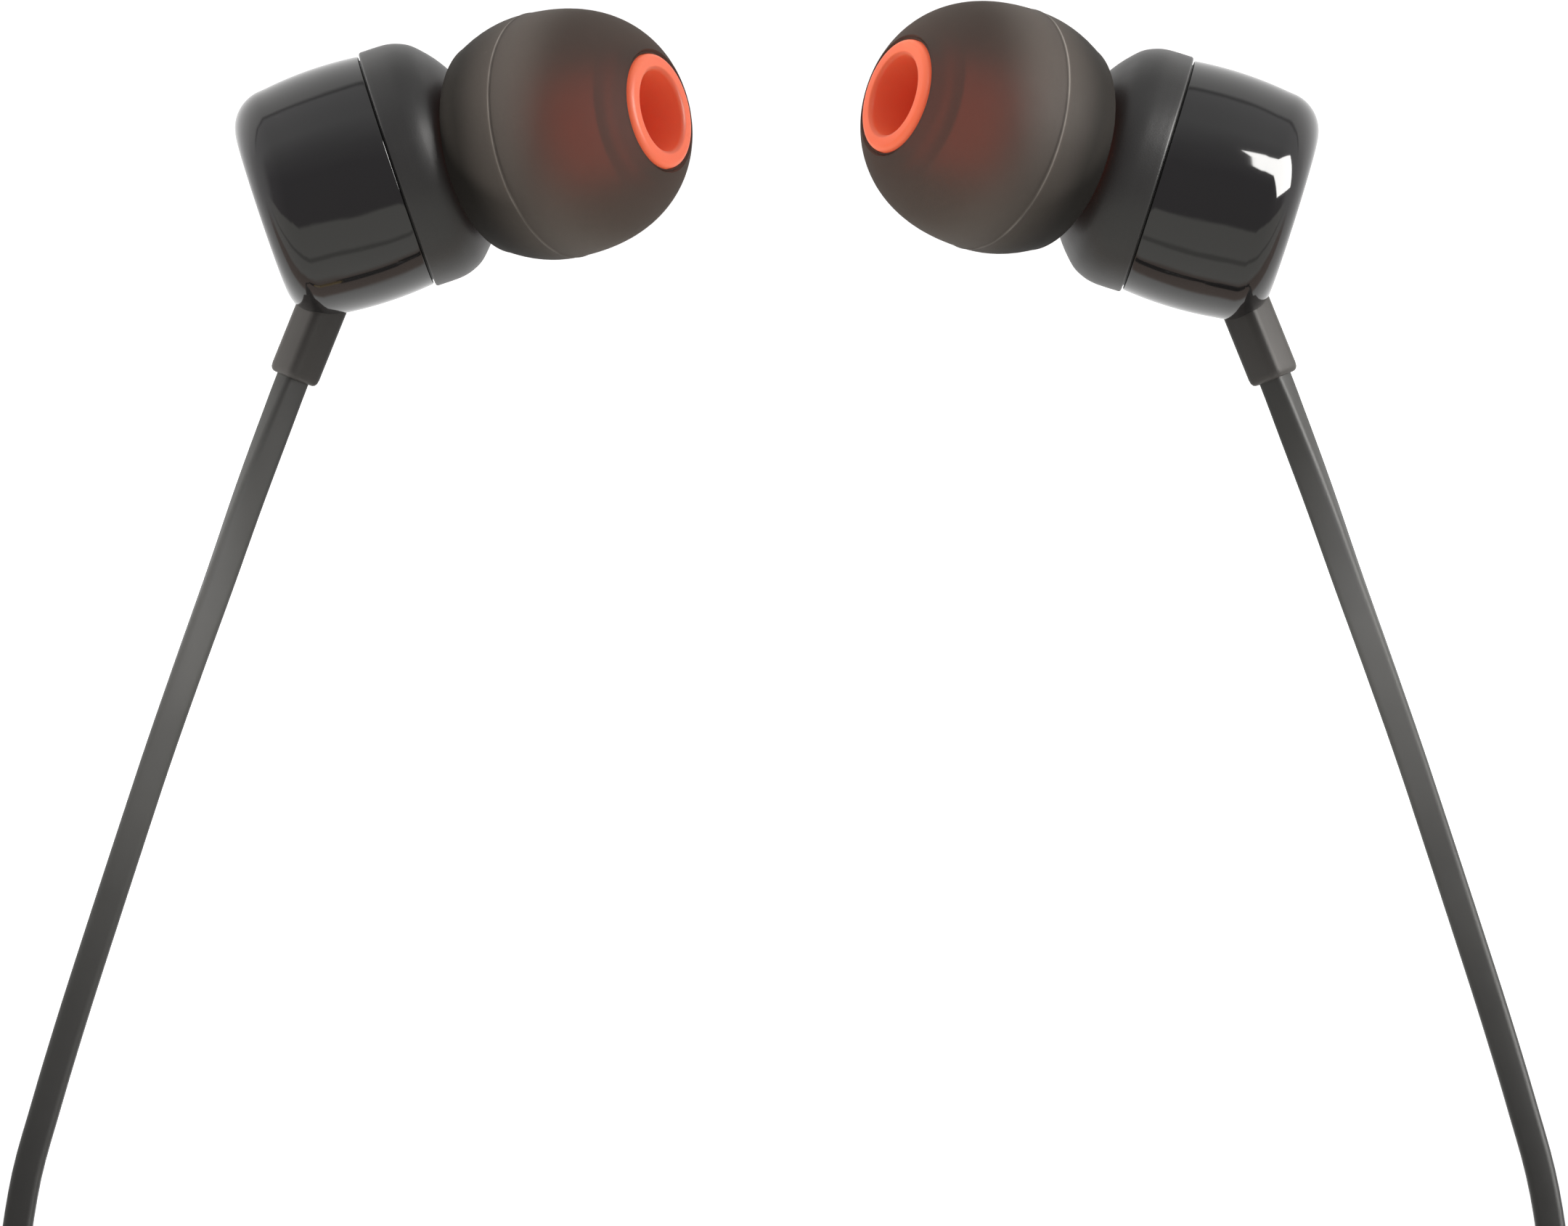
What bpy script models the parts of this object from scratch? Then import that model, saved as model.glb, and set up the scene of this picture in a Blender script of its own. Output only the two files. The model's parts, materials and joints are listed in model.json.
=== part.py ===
"""Wired in-ear earphones laid out flat on a table, as separate pieces.

Two earbuds face each other, each on its own slim side cable. One side cable passes through an in-line
remote. Each is wound into a small storage coil, and they meet in a Y-split. The main cable runs from there
through a larger coil to a four-pole 3.5 mm plug. The stored cable lies beyond the earbuds towards -Y.

Constants are in millimetres and the scene is in metres. +Z is up from the table, and the origin is under
the middle of the two earbuds. An earbud's own frame has its origin on the seam of the housing, with +X
towards the ear.
"""

import math

import bmesh
import bpy
import numpy as np
from mathutils import Matrix, Vector

MM = 0.001
MERGE = 1e-6
GAP = 0.1
CORD_GAP = 0.3

# The layout is drawn about a point midway between the cables, and moved so that the earbuds' box is centred
# on the origin.
LAYOUT_SHIFT = (0.36, -20.89, 0.0)

# Each earbud: the place of its housing's seam, how far its axis leans from the line between the earbuds,
# how far the housing is rolled about that axis, and how far its ear tip stands ahead of the nozzle's collar.
SIDES = {"left": -1, "right": 1}
SEAM_X = {"left": 19.42, "right": 18.74}
SEAM_Y = {"left": 22.19, "right": 21.94}
LEAN = {"left": 18.5, "right": 17.4}
ROLL = {"left": 5.4, "right": -5.7}
TIP_STANDOFF = {"left": 0.0, "right": 0.3}
AXIS_HEIGHT = 6.17

# Housing. x is along the earbud's axis from the seam.
HOUSING_SEGMENTS = 24
COVER_FRONT = -0.15
COVER_BACK = -7.1
COVER_RADIUS = 6.13
COVER_WIDEST = -2.3
COVER_BARREL = 0.026
COVER_CORNER = 2.0
COVER_BORE = 5.2
COVER_FLOOR = -6.4
SHELL_BACK = 0.2
SHELL_RADIUS = 6.15
DOME_CENTRE = (-1.5, 0.8)
DOME_RADIUS = 6.4
DOME_EDGE = 5.66
SHOULDER = (2.0, 6.05)
SHOULDER_BACK = 1.5
CHAMBER_RADIUS = 5.5
SPIGOT_RADIUS = 5.1
SPIGOT_BACK = -1.2
DRIVER_BORE = 4.6
LEDGE_X = 1.3
LEDGE_RADIUS = 4.0

# Nozzle and ear tip, in a frame on the nozzle's axis with its origin on the housing's axis.
NOZZLE_PIVOT = (2.11, -0.285, 0.0)
NOZZLE_TILT = 29.3
NOZZLE_YAW = -3.8
NOZZLE_RADIUS = 1.75
NOZZLE_END = 7.9
NOZZLE_BORE = 1.15
COLLAR_RADIUS = 2.3
COLLAR_FRONT = 3.95
COLLAR_BACK = 3.2
NOZZLE_ROOT = 2.6
RIDGE_RADIUS = 1.95
RIDGE_X = 6.85
SCREEN_RADIUS = 1.4
SCREEN_SEAT = 0.45
SCREEN_FRONT = 0.15
SCREEN_THICKNESS = 0.2
TIP_BACK = 3.38
TIP_FRONT = 13.2
TIP_RADIUS = 6.2
TIP_WIDEST = 3.35
TIP_TAPER = 0.086
TIP_DOME = 6.91
TIP_POWER = 2.34
TIP_WALL = 0.45
CORE_RADIUS = 2.7
CORE_RIM = 2.9
CORE_BORE = 2.05
CORE_RIM_LENGTH = 1.3

# Driver, in the earbud's frame.
DRIVER_SEGMENTS = 20
DRIVER_RADIUS = 4.5
DRIVER_FRONT = 1.2
DRIVER_BACK = -1.3
CUP_RADIUS = 3.1
CUP_BACK = -1.9
MAGNET_RADIUS = 1.95
COIL_INNER = 2.15
COIL_OUTER = 2.4
FILM_RADIUS = 3.75
FILM = 0.1

# Strain relief: a sleeve of rounded rectangular section, in a frame at its outer end with +X along
# the cable.
RELIEF_X = 24.6
RELIEF_Y = 11.74
RELIEF_ANGLE = 68.0
RELIEF_SECTION = (1.9, 2.3)
RELIEF_ROLL = 40.0
RELIEF_LENGTH = 5.5
RELIEF_CORNER = 0.35
FLANGE_RADIUS = 1.45
FLANGE_THICKNESS = 0.6

# Cable: flat, 1.5 wide and 1.24 thick. Its loose runs are drawn round, and its coils as their outer shape.
CORD_RADIUS = 0.6
CORD_WIDTH = 1.5
CORD_SPACING = 3.6
LAYER_PITCH = 1.25
TURN_PITCH = 1.7
COIL_BASE = 0.45
COIL_EDGE = 0.5
COIL_SEGMENTS = 28
TIE_WIDTH = 3.0
TIE_THICKNESS = 0.3
TIE_ROOM = 0.5
LEAD_RADIUS = 0.3

# Each coil: its centre, the mean radius of its turns, its layers, its turns in all, and its tie's angle.
COILS = {
    "left": {"centre": (-28.7, -57.0), "radius": 8.7, "layers": 2, "turns": 4 + 120 / 360, "tie": 60},
    "right": {"centre": (1.5, -76.55), "radius": 9.4, "layers": 2, "turns": 3 + 215 / 360, "tie": 160},
    "main": {"centre": (21.5, -51.0), "radius": 9.5, "layers": 4, "turns": 13.25, "tie": 225},
}

# Routes of the cable outside its coils, as (x, y, z) from the piece that it leaves.
SIDE_RUN = (
    (25.13, 10.35, 6.15),
    (26.76, 5.98, 5.9),
    (28.32, 1.62, 5.1),
    (29.95, -2.76, 3.9),
    (31.54, -7.15, 2.7),
    (33.04, -11.55, 1.7),
    (34.51, -15.97, 1.05),
    (35.94, -20.38, 0.7),
    (37.27, -24.79, 0.6),
    (38.44, -29.2, 0.6),
)
LEFT_TO_COIL = ((-39.15, -35.0, 0.6), (-39.35, -43.0, 0.6), (-39.3, -51.0, 0.75))
LEFT_TO_SPLIT = (
    (-18.6, -63.9, 1.9),
    (-12.0, -62.5, 1.1),
    (-4.5, -62.2, 0.6),
    (2.5, -62.6, 0.6),
    (8.5, -64.6, 0.65),
    (12.6, -68.0, 1.1),
    (14.6, -69.6, 1.4),
)
RIGHT_TO_REMOTE = ((39.25, -35.0, 0.6), (39.65, -40.0, 0.9), (39.8, -44.0, 1.7))
REMOTE_TO_COIL = (
    (39.8, -75.4, 1.8),
    (38.9, -79.4, 1.0),
    (36.2, -83.2, 0.65),
    (31.6, -86.0, 0.6),
    (25.5, -87.3, 0.6),
    (17.5, -87.6, 0.6),
    (9.5, -87.6, 0.75),
)
RIGHT_TO_SPLIT = ((11.9, -70.5, 1.9), (14.4, -72.1, 1.6))
SPLIT_TO_COIL = (
    (29.6, -71.3, 1.2),
    (32.2, -69.5, 0.8),
    (33.6, -66.2, 0.6),
    (33.8, -61.0, 0.7),
    (33.78, -56.0, 0.9),
)
COIL_TO_PLUG = ((16.0, -38.6, 4.6), (12.0, -38.1, 3.6))

# Pieces on the cable, with the middle of each one's underside on the table.
SPLIT_CENTRE = (21.75, -71.5)
SPLIT_SIZE = (9.5, 5.4, 3.0)
SPLIT_TAPER = 0.72
SPLIT_CORD_SPREAD = 1.2
REMOTE_CENTRE = (39.8, -60.0)
REMOTE_SIZE = (24.0, 6.2, 4.4)
REMOTE_WALL = 0.8
REMOTE_EDGE = 1.2
REMOTE_END_WALL = 1.2
BUTTON_SIZE = (7.0, 3.2, 1.9)
BUTTON_FLANGE = (8.2, 4.2, 0.35)
BUTTON_TOP = 4.7
BUTTON_PLAY = 0.15
MICROPHONE_X = 7.5
PLUG_END = (8.5, -38.0)
PLUG_HEIGHT = 3.1
GRIP_RADIUS = 3.1
BOOT_LENGTH = 6.0
BOOT_RADIUS = 1.3
GRIP_LENGTH = 16.0
PIN_RADIUS = 1.75
PIN_LENGTH = 14.0
PIN_ROOT = 4.5
PIN_CORE = 1.0
PIN_BORE = 0.6
PIN_COLLAR = 0.6
RING_LENGTH = 1.8
SLEEVE_LENGTH = 5.1


def clear_scene():
    for obj in list(bpy.data.objects):
        bpy.data.objects.remove(obj, do_unlink=True)


def new_collection(name):
    collection = bpy.data.collections.new(name)
    bpy.context.scene.collection.children.link(collection)
    return collection


def new_material(name, color, roughness, metallic=0.0, alpha=1.0):
    material = bpy.data.materials.new(name)
    material.use_nodes = True
    shader = material.node_tree.nodes["Principled BSDF"]
    shader.inputs["Base Color"].default_value = (*color, 1.0)
    shader.inputs["Roughness"].default_value = roughness
    shader.inputs["Metallic"].default_value = metallic
    shader.inputs["Alpha"].default_value = alpha
    return material


clear_scene()
PARTS = new_collection("wired_earphones")
CUTTERS = new_collection("cutters")

GLOSS_BLACK = new_material("gloss_black", (0.012, 0.012, 0.013), 0.12)
MATTE_BLACK = new_material("matte_black", (0.035, 0.035, 0.037), 0.5)
SMOKE_SILICONE = new_material("smoke_silicone", (0.09, 0.075, 0.068), 0.4, alpha=0.8)
ORANGE_SILICONE = new_material("orange_silicone", (0.9, 0.12, 0.035), 0.4)
SOFT_GREY = new_material("soft_grey", (0.1, 0.095, 0.088), 0.45)
CABLE = new_material("cable", (0.07, 0.068, 0.065), 0.5)
STRAP = new_material("strap", (0.02, 0.02, 0.02), 0.8)
STEEL = new_material("steel", (0.55, 0.55, 0.55), 0.3, metallic=1.0)
GOLD = new_material("gold", (0.95, 0.7, 0.3), 0.2, metallic=1.0)
MAGNET = new_material("magnet", (0.35, 0.35, 0.36), 0.35, metallic=1.0)
COPPER = new_material("copper", (0.8, 0.4, 0.2), 0.35, metallic=1.0)
FILM_CLEAR = new_material("film", (0.75, 0.72, 0.6), 0.2)
BOARD = new_material("board", (0.02, 0.16, 0.06), 0.4)
NATURAL_PLASTIC = new_material("natural_plastic", (0.8, 0.78, 0.7), 0.4)


def form(name, mesh, frame=Matrix()):
    """A working object: it is finished into a piece's mesh, or cuts or joins another."""
    obj = bpy.data.objects.new(f"{name}_form", mesh)
    obj.matrix_world = frame
    obj.hide_render = True
    obj.display_type = "WIRE"
    CUTTERS.objects.link(obj)
    return obj


def turned(name, profile, segments, frame=Matrix(), axis="X"):
    """A form turned about its own X axis, or Z axis, from (along the axis, radius) points.

    The points run along the outside from the front, or top, to the back, and then return along the inside. A
    profile that starts and ends at radius 0 is closed by the axis, and any other by an edge.
    """
    if axis == "X":
        points = [(x * MM, radius * MM, 0) for x, radius in profile]
    else:
        points = [(radius * MM, 0, z * MM) for z, radius in profile]
    edges = [(i, i + 1) for i in range(len(points) - 1)]
    if profile[0][1] > 0:
        edges.append((len(points) - 1, 0))
    mesh = bpy.data.meshes.new(name)
    mesh.from_pydata(points, edges, [])
    obj = form(name, mesh, frame)
    screw = obj.modifiers.new("Turn", "SCREW")
    screw.axis = axis
    screw.steps = segments
    screw.render_steps = segments
    screw.use_merge_vertices = True
    screw.merge_threshold = MERGE
    return obj


def rod(name, front, back, radius, segments, frame=Matrix()):
    return turned(name, ((front, 0), (front, radius), (back, radius), (back, 0)), segments, frame)


def ring(name, front, back, outer, inner, segments, frame=Matrix()):
    profile = ((front, outer), (back, outer), (back, inner), (front, inner))
    return turned(name, profile, segments, frame)


def box(name, size, centre, frame=Matrix(), bevel=0.0, bevel_segments=1, taper=1.0):
    """A box form with beveled edges, narrowed by the taper at its +X end."""
    cage = bmesh.new()
    bmesh.ops.create_cube(cage, size=1.0)
    for vert in cage.verts:
        narrow = taper if vert.co.x > 0 else 1.0
        vert.co = Vector((vert.co.x * size[0], vert.co.y * size[1] * narrow, vert.co.z * size[2])) * MM
        vert.co += Vector(centre) * MM
    mesh = bpy.data.meshes.new(name)
    cage.to_mesh(mesh)
    cage.free()
    obj = form(name, mesh, frame)
    if bevel:
        modifier = obj.modifiers.new("Bevel", "BEVEL")
        modifier.width = bevel * MM
        modifier.segments = bevel_segments
    return obj


def combine(obj, other, operation):
    boolean = obj.modifiers.new(operation.title(), "BOOLEAN")
    boolean.operation = operation
    boolean.solver = "EXACT"
    boolean.object = other


def cut(obj, *cutters):
    for cutter in cutters:
        combine(obj, cutter, "DIFFERENCE")


def join(obj, *others):
    for other in others:
        combine(obj, other, "UNION")


def finished(obj):
    """The form's finished mesh, in the form's own frame."""
    bpy.context.view_layer.update()
    graph = bpy.context.evaluated_depsgraph_get()
    mesh = bpy.data.meshes.new_from_object(obj.evaluated_get(graph))
    mesh.name = obj.name
    mesh.shade_smooth()
    mesh.set_sharp_from_angle(angle=math.radians(30))
    return mesh


def place(name, mesh, parent, material):
    """A piece: the mesh under its parent empty."""
    obj = bpy.data.objects.new(name, mesh)
    obj.parent = parent
    mesh.materials.clear()
    mesh.materials.append(material)
    PARTS.objects.link(obj)
    return obj


def empty(name, parent, location, rotation=(0.0, 0.0, 0.0), side=-1):
    """An empty at a place in millimetres, turned by degrees, and mirrored in X on the right side."""
    obj = bpy.data.objects.new(name, None)
    obj.parent = parent
    obj.location = Vector(location) * MM
    obj.rotation_euler = [math.radians(angle) for angle in rotation]
    obj.scale.x = -side
    PARTS.objects.link(obj)
    return obj


def arc(centre, radius, start, end, steps):
    """Points on an arc about the centre, from one angle in degrees to another."""
    angles = [math.radians(start + (end - start) * i / steps) for i in range(steps + 1)]
    return [(centre[0] + radius * math.cos(a), centre[1] + radius * math.sin(a)) for a in angles]


def dome_arc(radius, outer, inner, steps):
    """Points on the front dome, or its inside, from one distance from the axis to another."""
    start = math.degrees(math.asin((outer - DOME_CENTRE[1]) / radius))
    end = math.degrees(math.asin((inner - DOME_CENTRE[1]) / radius))
    return arc(DOME_CENTRE, radius, start, end, steps)


ROOT = empty("earphones", None, LAYOUT_SHIFT)
EARBUD = {}
NOZZLE = {}
TIP = {}
RELIEF = {}
for side, sign in SIDES.items():
    EARBUD[side] = empty(
        f"{side}_earbud",
        ROOT,
        (sign * SEAM_X[side], SEAM_Y[side], AXIS_HEIGHT),
        (ROLL[side], 0, -sign * LEAN[side]),
        sign,
    )
    NOZZLE[side] = empty(f"{side}_nozzle_axis", EARBUD[side], NOZZLE_PIVOT, (0, -NOZZLE_TILT, NOZZLE_YAW))
    TIP[side] = empty(f"{side}_tip_axis", NOZZLE[side], (TIP_STANDOFF[side], 0, 0))
    RELIEF[side] = empty(
        f"{side}_cable_exit",
        ROOT,
        (sign * RELIEF_X, RELIEF_Y, AXIS_HEIGHT),
        (0, 0, -sign * (180 + RELIEF_ANGLE)),
        sign,
    )
bpy.context.view_layer.update()
NOZZLE_FRAME = EARBUD["left"].matrix_world.inverted() @ NOZZLE["left"].matrix_world
CARRIED_ROLL = Matrix.Rotation(math.radians(RELIEF_ROLL), 4, "X")


def on_both_sides(name, obj, parents, material):
    mesh = finished(obj)
    for side in SIDES:
        place(f"{side}_{name}", mesh, parents[side], material)


# ---------------------------------------------------------------- housing


def make_front_shell():
    """The matte shell with its spigot, driver seat, domed front and angled nozzle."""
    outside = dome_arc(DOME_RADIUS, 0.0, DOME_EDGE, 5)
    outside += [SHOULDER, (SHOULDER_BACK, SHELL_RADIUS), (SHELL_BACK, SHELL_RADIUS)]
    spigot = [(SHELL_BACK, SPIGOT_RADIUS), (SPIGOT_BACK, SPIGOT_RADIUS), (SPIGOT_BACK, DRIVER_BORE)]
    inside = [(LEDGE_X, DRIVER_BORE), (LEDGE_X, LEDGE_RADIUS)]
    inside += dome_arc(CHAMBER_RADIUS, LEDGE_RADIUS, 0.0, 3)
    profile = outside + spigot + inside
    profile[0] = (profile[0][0], 0)
    profile[-1] = (profile[-1][0], 0)
    shell = turned("front_shell", profile, HOUSING_SEGMENTS)
    nozzle = (
        (NOZZLE_END, 0),
        (NOZZLE_END, NOZZLE_RADIUS),
        (RIDGE_X + 0.45, NOZZLE_RADIUS),
        (RIDGE_X + 0.25, RIDGE_RADIUS),
        (RIDGE_X - 0.25, RIDGE_RADIUS),
        (RIDGE_X - 0.45, NOZZLE_RADIUS),
        (COLLAR_FRONT, NOZZLE_RADIUS),
        (COLLAR_FRONT, COLLAR_RADIUS),
        (COLLAR_BACK, COLLAR_RADIUS),
        (NOZZLE_ROOT, NOZZLE_RADIUS),
        (NOZZLE_ROOT, 0),
    )
    join(shell, turned("nozzle", nozzle, 16, NOZZLE_FRAME))
    seat = NOZZLE_END - SCREEN_SEAT
    mouth = SCREEN_RADIUS + GAP
    bore = ((9, 0), (9, mouth), (seat, mouth), (seat, NOZZLE_BORE), (1, NOZZLE_BORE), (1, 0))
    cut(shell, turned("nozzle_bore", bore, 16, NOZZLE_FRAME))
    on_both_sides("front_shell", shell, EARBUD, MATTE_BLACK)


def make_nozzle_screen():
    """The perforated disc in the nozzle's mouth."""
    front = NOZZLE_END - SCREEN_FRONT
    screen = rod("nozzle_screen", front, front - SCREEN_THICKNESS, SCREEN_RADIUS, 16)
    for i in range(6):
        turn = Matrix.Rotation(math.tau * i / 6, 4, "X") @ Matrix.Translation((0, 0.8 * MM, 0))
        cut(screen, rod(f"screen_hole_{i}", NOZZLE_END, NOZZLE_END - 0.6, 0.25, 6, turn))
    on_both_sides("nozzle_screen", screen, NOZZLE, STEEL)


def cover_radius(x):
    return COVER_RADIUS - COVER_BARREL * (x - COVER_WIDEST) ** 2


def cover_profile():
    """The gloss cover's outside, front to back: a barrelled side, a round corner and a flat back."""
    corner = COVER_BACK + COVER_CORNER
    halfway = (corner + COVER_WIDEST) / 2
    side = [(x, cover_radius(x)) for x in (COVER_FRONT, COVER_WIDEST, halfway)]
    rounding = arc((corner, cover_radius(corner) - COVER_CORNER), COVER_CORNER, 90, 180, 5)
    return side + rounding + [(COVER_BACK, 0)]


def make_rear_cover(side):
    """The gloss cup behind the seam, with the opening that the strain relief passes through."""
    corner = COVER_CORNER - COVER_FLOOR + COVER_BACK
    inside = [(COVER_FLOOR, 0)] + arc((COVER_FLOOR + corner, COVER_BORE - corner), corner, 180, 90, 3)
    inside.append((COVER_FRONT, COVER_BORE))
    cover = turned(f"{side}_rear_cover", inside + cover_profile(), HOUSING_SEGMENTS)
    opening = [width + 2 * GAP for width in RELIEF_SECTION]
    frame = EARBUD[side].matrix_world.inverted() @ RELIEF[side].matrix_world @ CARRIED_ROLL
    cut(cover, box(f"{side}_relief_opening", (4.6, *opening), (-4.8, 0, 0), frame, RELIEF_CORNER))
    place(f"{side}_rear_cover", finished(cover), EARBUD[side], GLOSS_BLACK)


def make_strain_relief():
    """The short sleeve, with the round flange that holds it inside the cover."""
    sleeve = box(
        "strain_relief",
        (RELIEF_LENGTH + 0.2, *RELIEF_SECTION),
        (-RELIEF_LENGTH / 2 - 0.1, 0, 0),
        CARRIED_ROLL,
        RELIEF_CORNER,
        2,
    )
    join(sleeve, rod("relief_flange", -RELIEF_LENGTH, -RELIEF_LENGTH - FLANGE_THICKNESS, FLANGE_RADIUS, 14))
    mesh = finished(sleeve)
    mesh.transform(CARRIED_ROLL)
    for side in SIDES:
        place(f"{side}_strain_relief", mesh, RELIEF[side], SOFT_GREY)


def make_lead_wires(side):
    """The cable's fine wires, from the strain relief's inner end to the terminal board."""
    to_earbud = EARBUD[side].matrix_world.inverted() @ RELIEF[side].matrix_world
    start = to_earbud @ (Vector((-RELIEF_LENGTH - FLANGE_THICKNESS - 0.2, 0, 0)) * MM)
    onward = to_earbud @ (Vector((-RELIEF_LENGTH - FLANGE_THICKNESS - 1.0, 0, 0)) * MM)
    end = Vector((-2.6, -0.9, 0)) * MM
    route = [start, onward, Vector((-3.6, -1.6, 0.5)) * MM, Vector((-3.1, -1.0, 0.2)) * MM, end]
    wires = form(f"{side}_lead_wires", tube(f"{side}_lead_wires", route, LEAD_RADIUS))
    place(f"{side}_lead_wires", welded(finished(wires)), EARBUD[side], COPPER)


# ---------------------------------------------------------------- ear tip


def make_tip_core():
    """The firm stem that grips the nozzle, with its rounded rim at the front."""
    profile = (
        (TIP_FRONT, 2.5),
        (TIP_FRONT - 0.15, 2.78),
        (TIP_FRONT - 0.45, CORE_RIM),
        (TIP_FRONT - CORE_RIM_LENGTH, CORE_RIM),
        (TIP_FRONT - CORE_RIM_LENGTH - 0.6, CORE_RADIUS),
        (COLLAR_FRONT + GAP, CORE_RADIUS),
        (COLLAR_FRONT + GAP, CORE_BORE),
        (TIP_FRONT - 0.25, CORE_BORE),
        (TIP_FRONT, 2.25),
    )
    on_both_sides("tip_core", turned("tip_core", profile, 18), TIP, ORANGE_SILICONE)


def skirt_radius(back, wall=0.0):
    """The skirt's outer radius at a distance ahead of its rear rim, less a wall."""
    if back < TIP_WIDEST:
        return TIP_RADIUS - TIP_TAPER * (TIP_WIDEST - back) ** 2 - wall
    share = (back - TIP_WIDEST) / (TIP_DOME - wall)
    return (TIP_RADIUS - wall) * (1 - share**TIP_POWER) ** (1 / TIP_POWER)


def make_tip_skirt():
    """The soft dome that seals the ear canal, open at the back."""
    outer_backs = (9.45, 9.0, 8.2, 6.8, 5.0, TIP_WIDEST, 1.5, 0)
    outer = [(TIP_BACK + back, skirt_radius(back)) for back in outer_backs]
    inner = [(TIP_BACK + back, skirt_radius(back, TIP_WALL)) for back in (0, 2.0, 4.6, 6.6, 8.2)]
    land = [(TIP_FRONT - 1.55, CORE_RIM + GAP), (TIP_FRONT - 0.5, CORE_RIM + GAP)]
    skirt = turned("tip_skirt", outer + inner + land, HOUSING_SEGMENTS)
    on_both_sides("tip_skirt", skirt, TIP, SMOKE_SILICONE)


# ---------------------------------------------------------------- driver


def make_driver():
    """The moving-coil driver, from its back to its front."""
    frame = (
        (DRIVER_FRONT, DRIVER_RADIUS),
        (DRIVER_BACK, DRIVER_RADIUS),
        (DRIVER_BACK, CUP_RADIUS + GAP),
        (-0.2, CUP_RADIUS + GAP),
        (-0.2, 3.8),
        (0.35, 3.8),
        (0.35, 4.25),
        (DRIVER_FRONT, 4.25),
    )
    on_both_sides("driver_frame", turned("driver_frame", frame, DRIVER_SEGMENTS), EARBUD, MATTE_BLACK)
    cup = (
        (-1.4, 0),
        (-1.4, 2.55),
        (-0.1, 2.55),
        (-0.1, CUP_RADIUS),
        (CUP_BACK, CUP_RADIUS),
        (CUP_BACK, 0),
    )
    on_both_sides("yoke_cup", turned("yoke_cup", cup, DRIVER_SEGMENTS), EARBUD, STEEL)
    magnet = rod("magnet", -0.55, -1.3, MAGNET_RADIUS, DRIVER_SEGMENTS)
    on_both_sides("magnet", magnet, EARBUD, MAGNET)
    plate = rod("top_plate", -0.1, -0.45, MAGNET_RADIUS + GAP, DRIVER_SEGMENTS)
    on_both_sides("top_plate", plate, EARBUD, STEEL)
    coil = ring("voice_coil", 0.32, -0.75, COIL_OUTER, COIL_INNER, DRIVER_SEGMENTS)
    on_both_sides("voice_coil", coil, EARBUD, COPPER)
    front = [(0.7, 0), (0.66, 1.0), (0.55, 1.8), (0.5, 2.3), (0.62, 2.75), (0.65, 3.1), (0.5, FILM_RADIUS)]
    back = [(x - FILM, radius) for x, radius in reversed(front)]
    on_both_sides("diaphragm", turned("diaphragm", front + back, DRIVER_SEGMENTS), EARBUD, FILM_CLEAR)
    rim = ring("diaphragm_ring", 0.9, 0.43, 4.15, FILM_RADIUS + GAP, DRIVER_SEGMENTS)
    on_both_sides("diaphragm_ring", rim, EARBUD, COPPER)
    cover = rod("driver_cover", DRIVER_FRONT, 1.0, 4.15, DRIVER_SEGMENTS)
    for i in range(5):
        turn = Matrix.Rotation(math.tau * i / 5, 4, "X") @ Matrix.Translation((0, 2.3 * MM, 0))
        cut(cover, rod(f"cover_hole_{i}", 1.5, 0.5, 0.6, 8, turn))
    on_both_sides("driver_cover", cover, EARBUD, STEEL)
    board = box("terminal_board", (0.35, 2.4, 4.2), (CUP_BACK - 0.28, -0.6, 0))
    on_both_sides("terminal_board", board, EARBUD, BOARD)


# ---------------------------------------------------------------- cable


def smooth_step(a, b, c, d, t):
    """The point a share t of the way from b to c, on the smooth curve through four points."""
    first = (c - a) * t
    second = (2 * a - 5 * b + 4 * c - d) * t**2
    third = (3 * b - a - 3 * c + d) * t**3
    return (2 * b + first + second + third) / 2


def smooth_route(points, spacing=CORD_SPACING):
    """Points evenly spaced along the smooth curve through the route's points, all in millimetres."""
    given = np.array(points, float)
    ends = np.vstack([2 * given[0] - given[1], given, 2 * given[-1] - given[-2]])
    fine = [given[0]]
    for a, b, c, d in zip(ends, ends[1:], ends[2:], ends[3:]):
        fine += [smooth_step(a, b, c, d, t) for t in np.linspace(0, 1, 13)[1:]]
    fine = np.array(fine)
    along = np.concatenate([[0], np.cumsum(np.linalg.norm(np.diff(fine, axis=0), axis=1))])
    count = max(2, round(along[-1] / spacing) + 1)
    even = np.linspace(0, along[-1], count)
    smooth = np.column_stack([np.interp(even, along, fine[:, i]) for i in range(3)])
    smooth[:, 2] = np.maximum(smooth[:, 2], CORD_RADIUS)
    return smooth


def tube(name, route, radius):
    """A tube curve along a route in metres, with filled ends."""
    curve = bpy.data.curves.new(name, "CURVE")
    curve.dimensions = "3D"
    curve.bevel_depth = radius * MM
    curve.bevel_resolution = 2
    curve.use_fill_caps = True
    spline = curve.splines.new("POLY")
    spline.points.add(len(route) - 1)
    for point, position in zip(spline.points, route):
        point.co = (*position, 1)
    return curve


def welded(mesh):
    """The mesh with its loose caps joined to it."""
    cage = bmesh.new()
    cage.from_mesh(mesh)
    bmesh.ops.remove_doubles(cage, verts=cage.verts, dist=MERGE)
    cage.to_mesh(mesh)
    cage.free()
    return mesh


def lay_cord(name, route):
    """A piece of loose cable along a route in millimetres."""
    curve = tube(name, route * MM, CORD_RADIUS)
    curve.materials.append(CABLE)
    obj = bpy.data.objects.new(name, curve)
    obj.parent = ROOT
    PARTS.objects.link(obj)


def coil_reach(coil):
    """Half the width of the band that the coil's turns take up."""
    return TURN_PITCH * coil["turns"] / coil["layers"] / 2


def coil_point(coil, angle, layer):
    """Where the outermost turn of a layer passes an angle in degrees."""
    radius = coil["radius"] + coil_reach(coil)
    x = coil["centre"][0] + radius * math.cos(math.radians(angle))
    y = coil["centre"][1] + radius * math.sin(math.radians(angle))
    return (x, y, COIL_BASE + CORD_RADIUS + LAYER_PITCH * layer)


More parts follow.
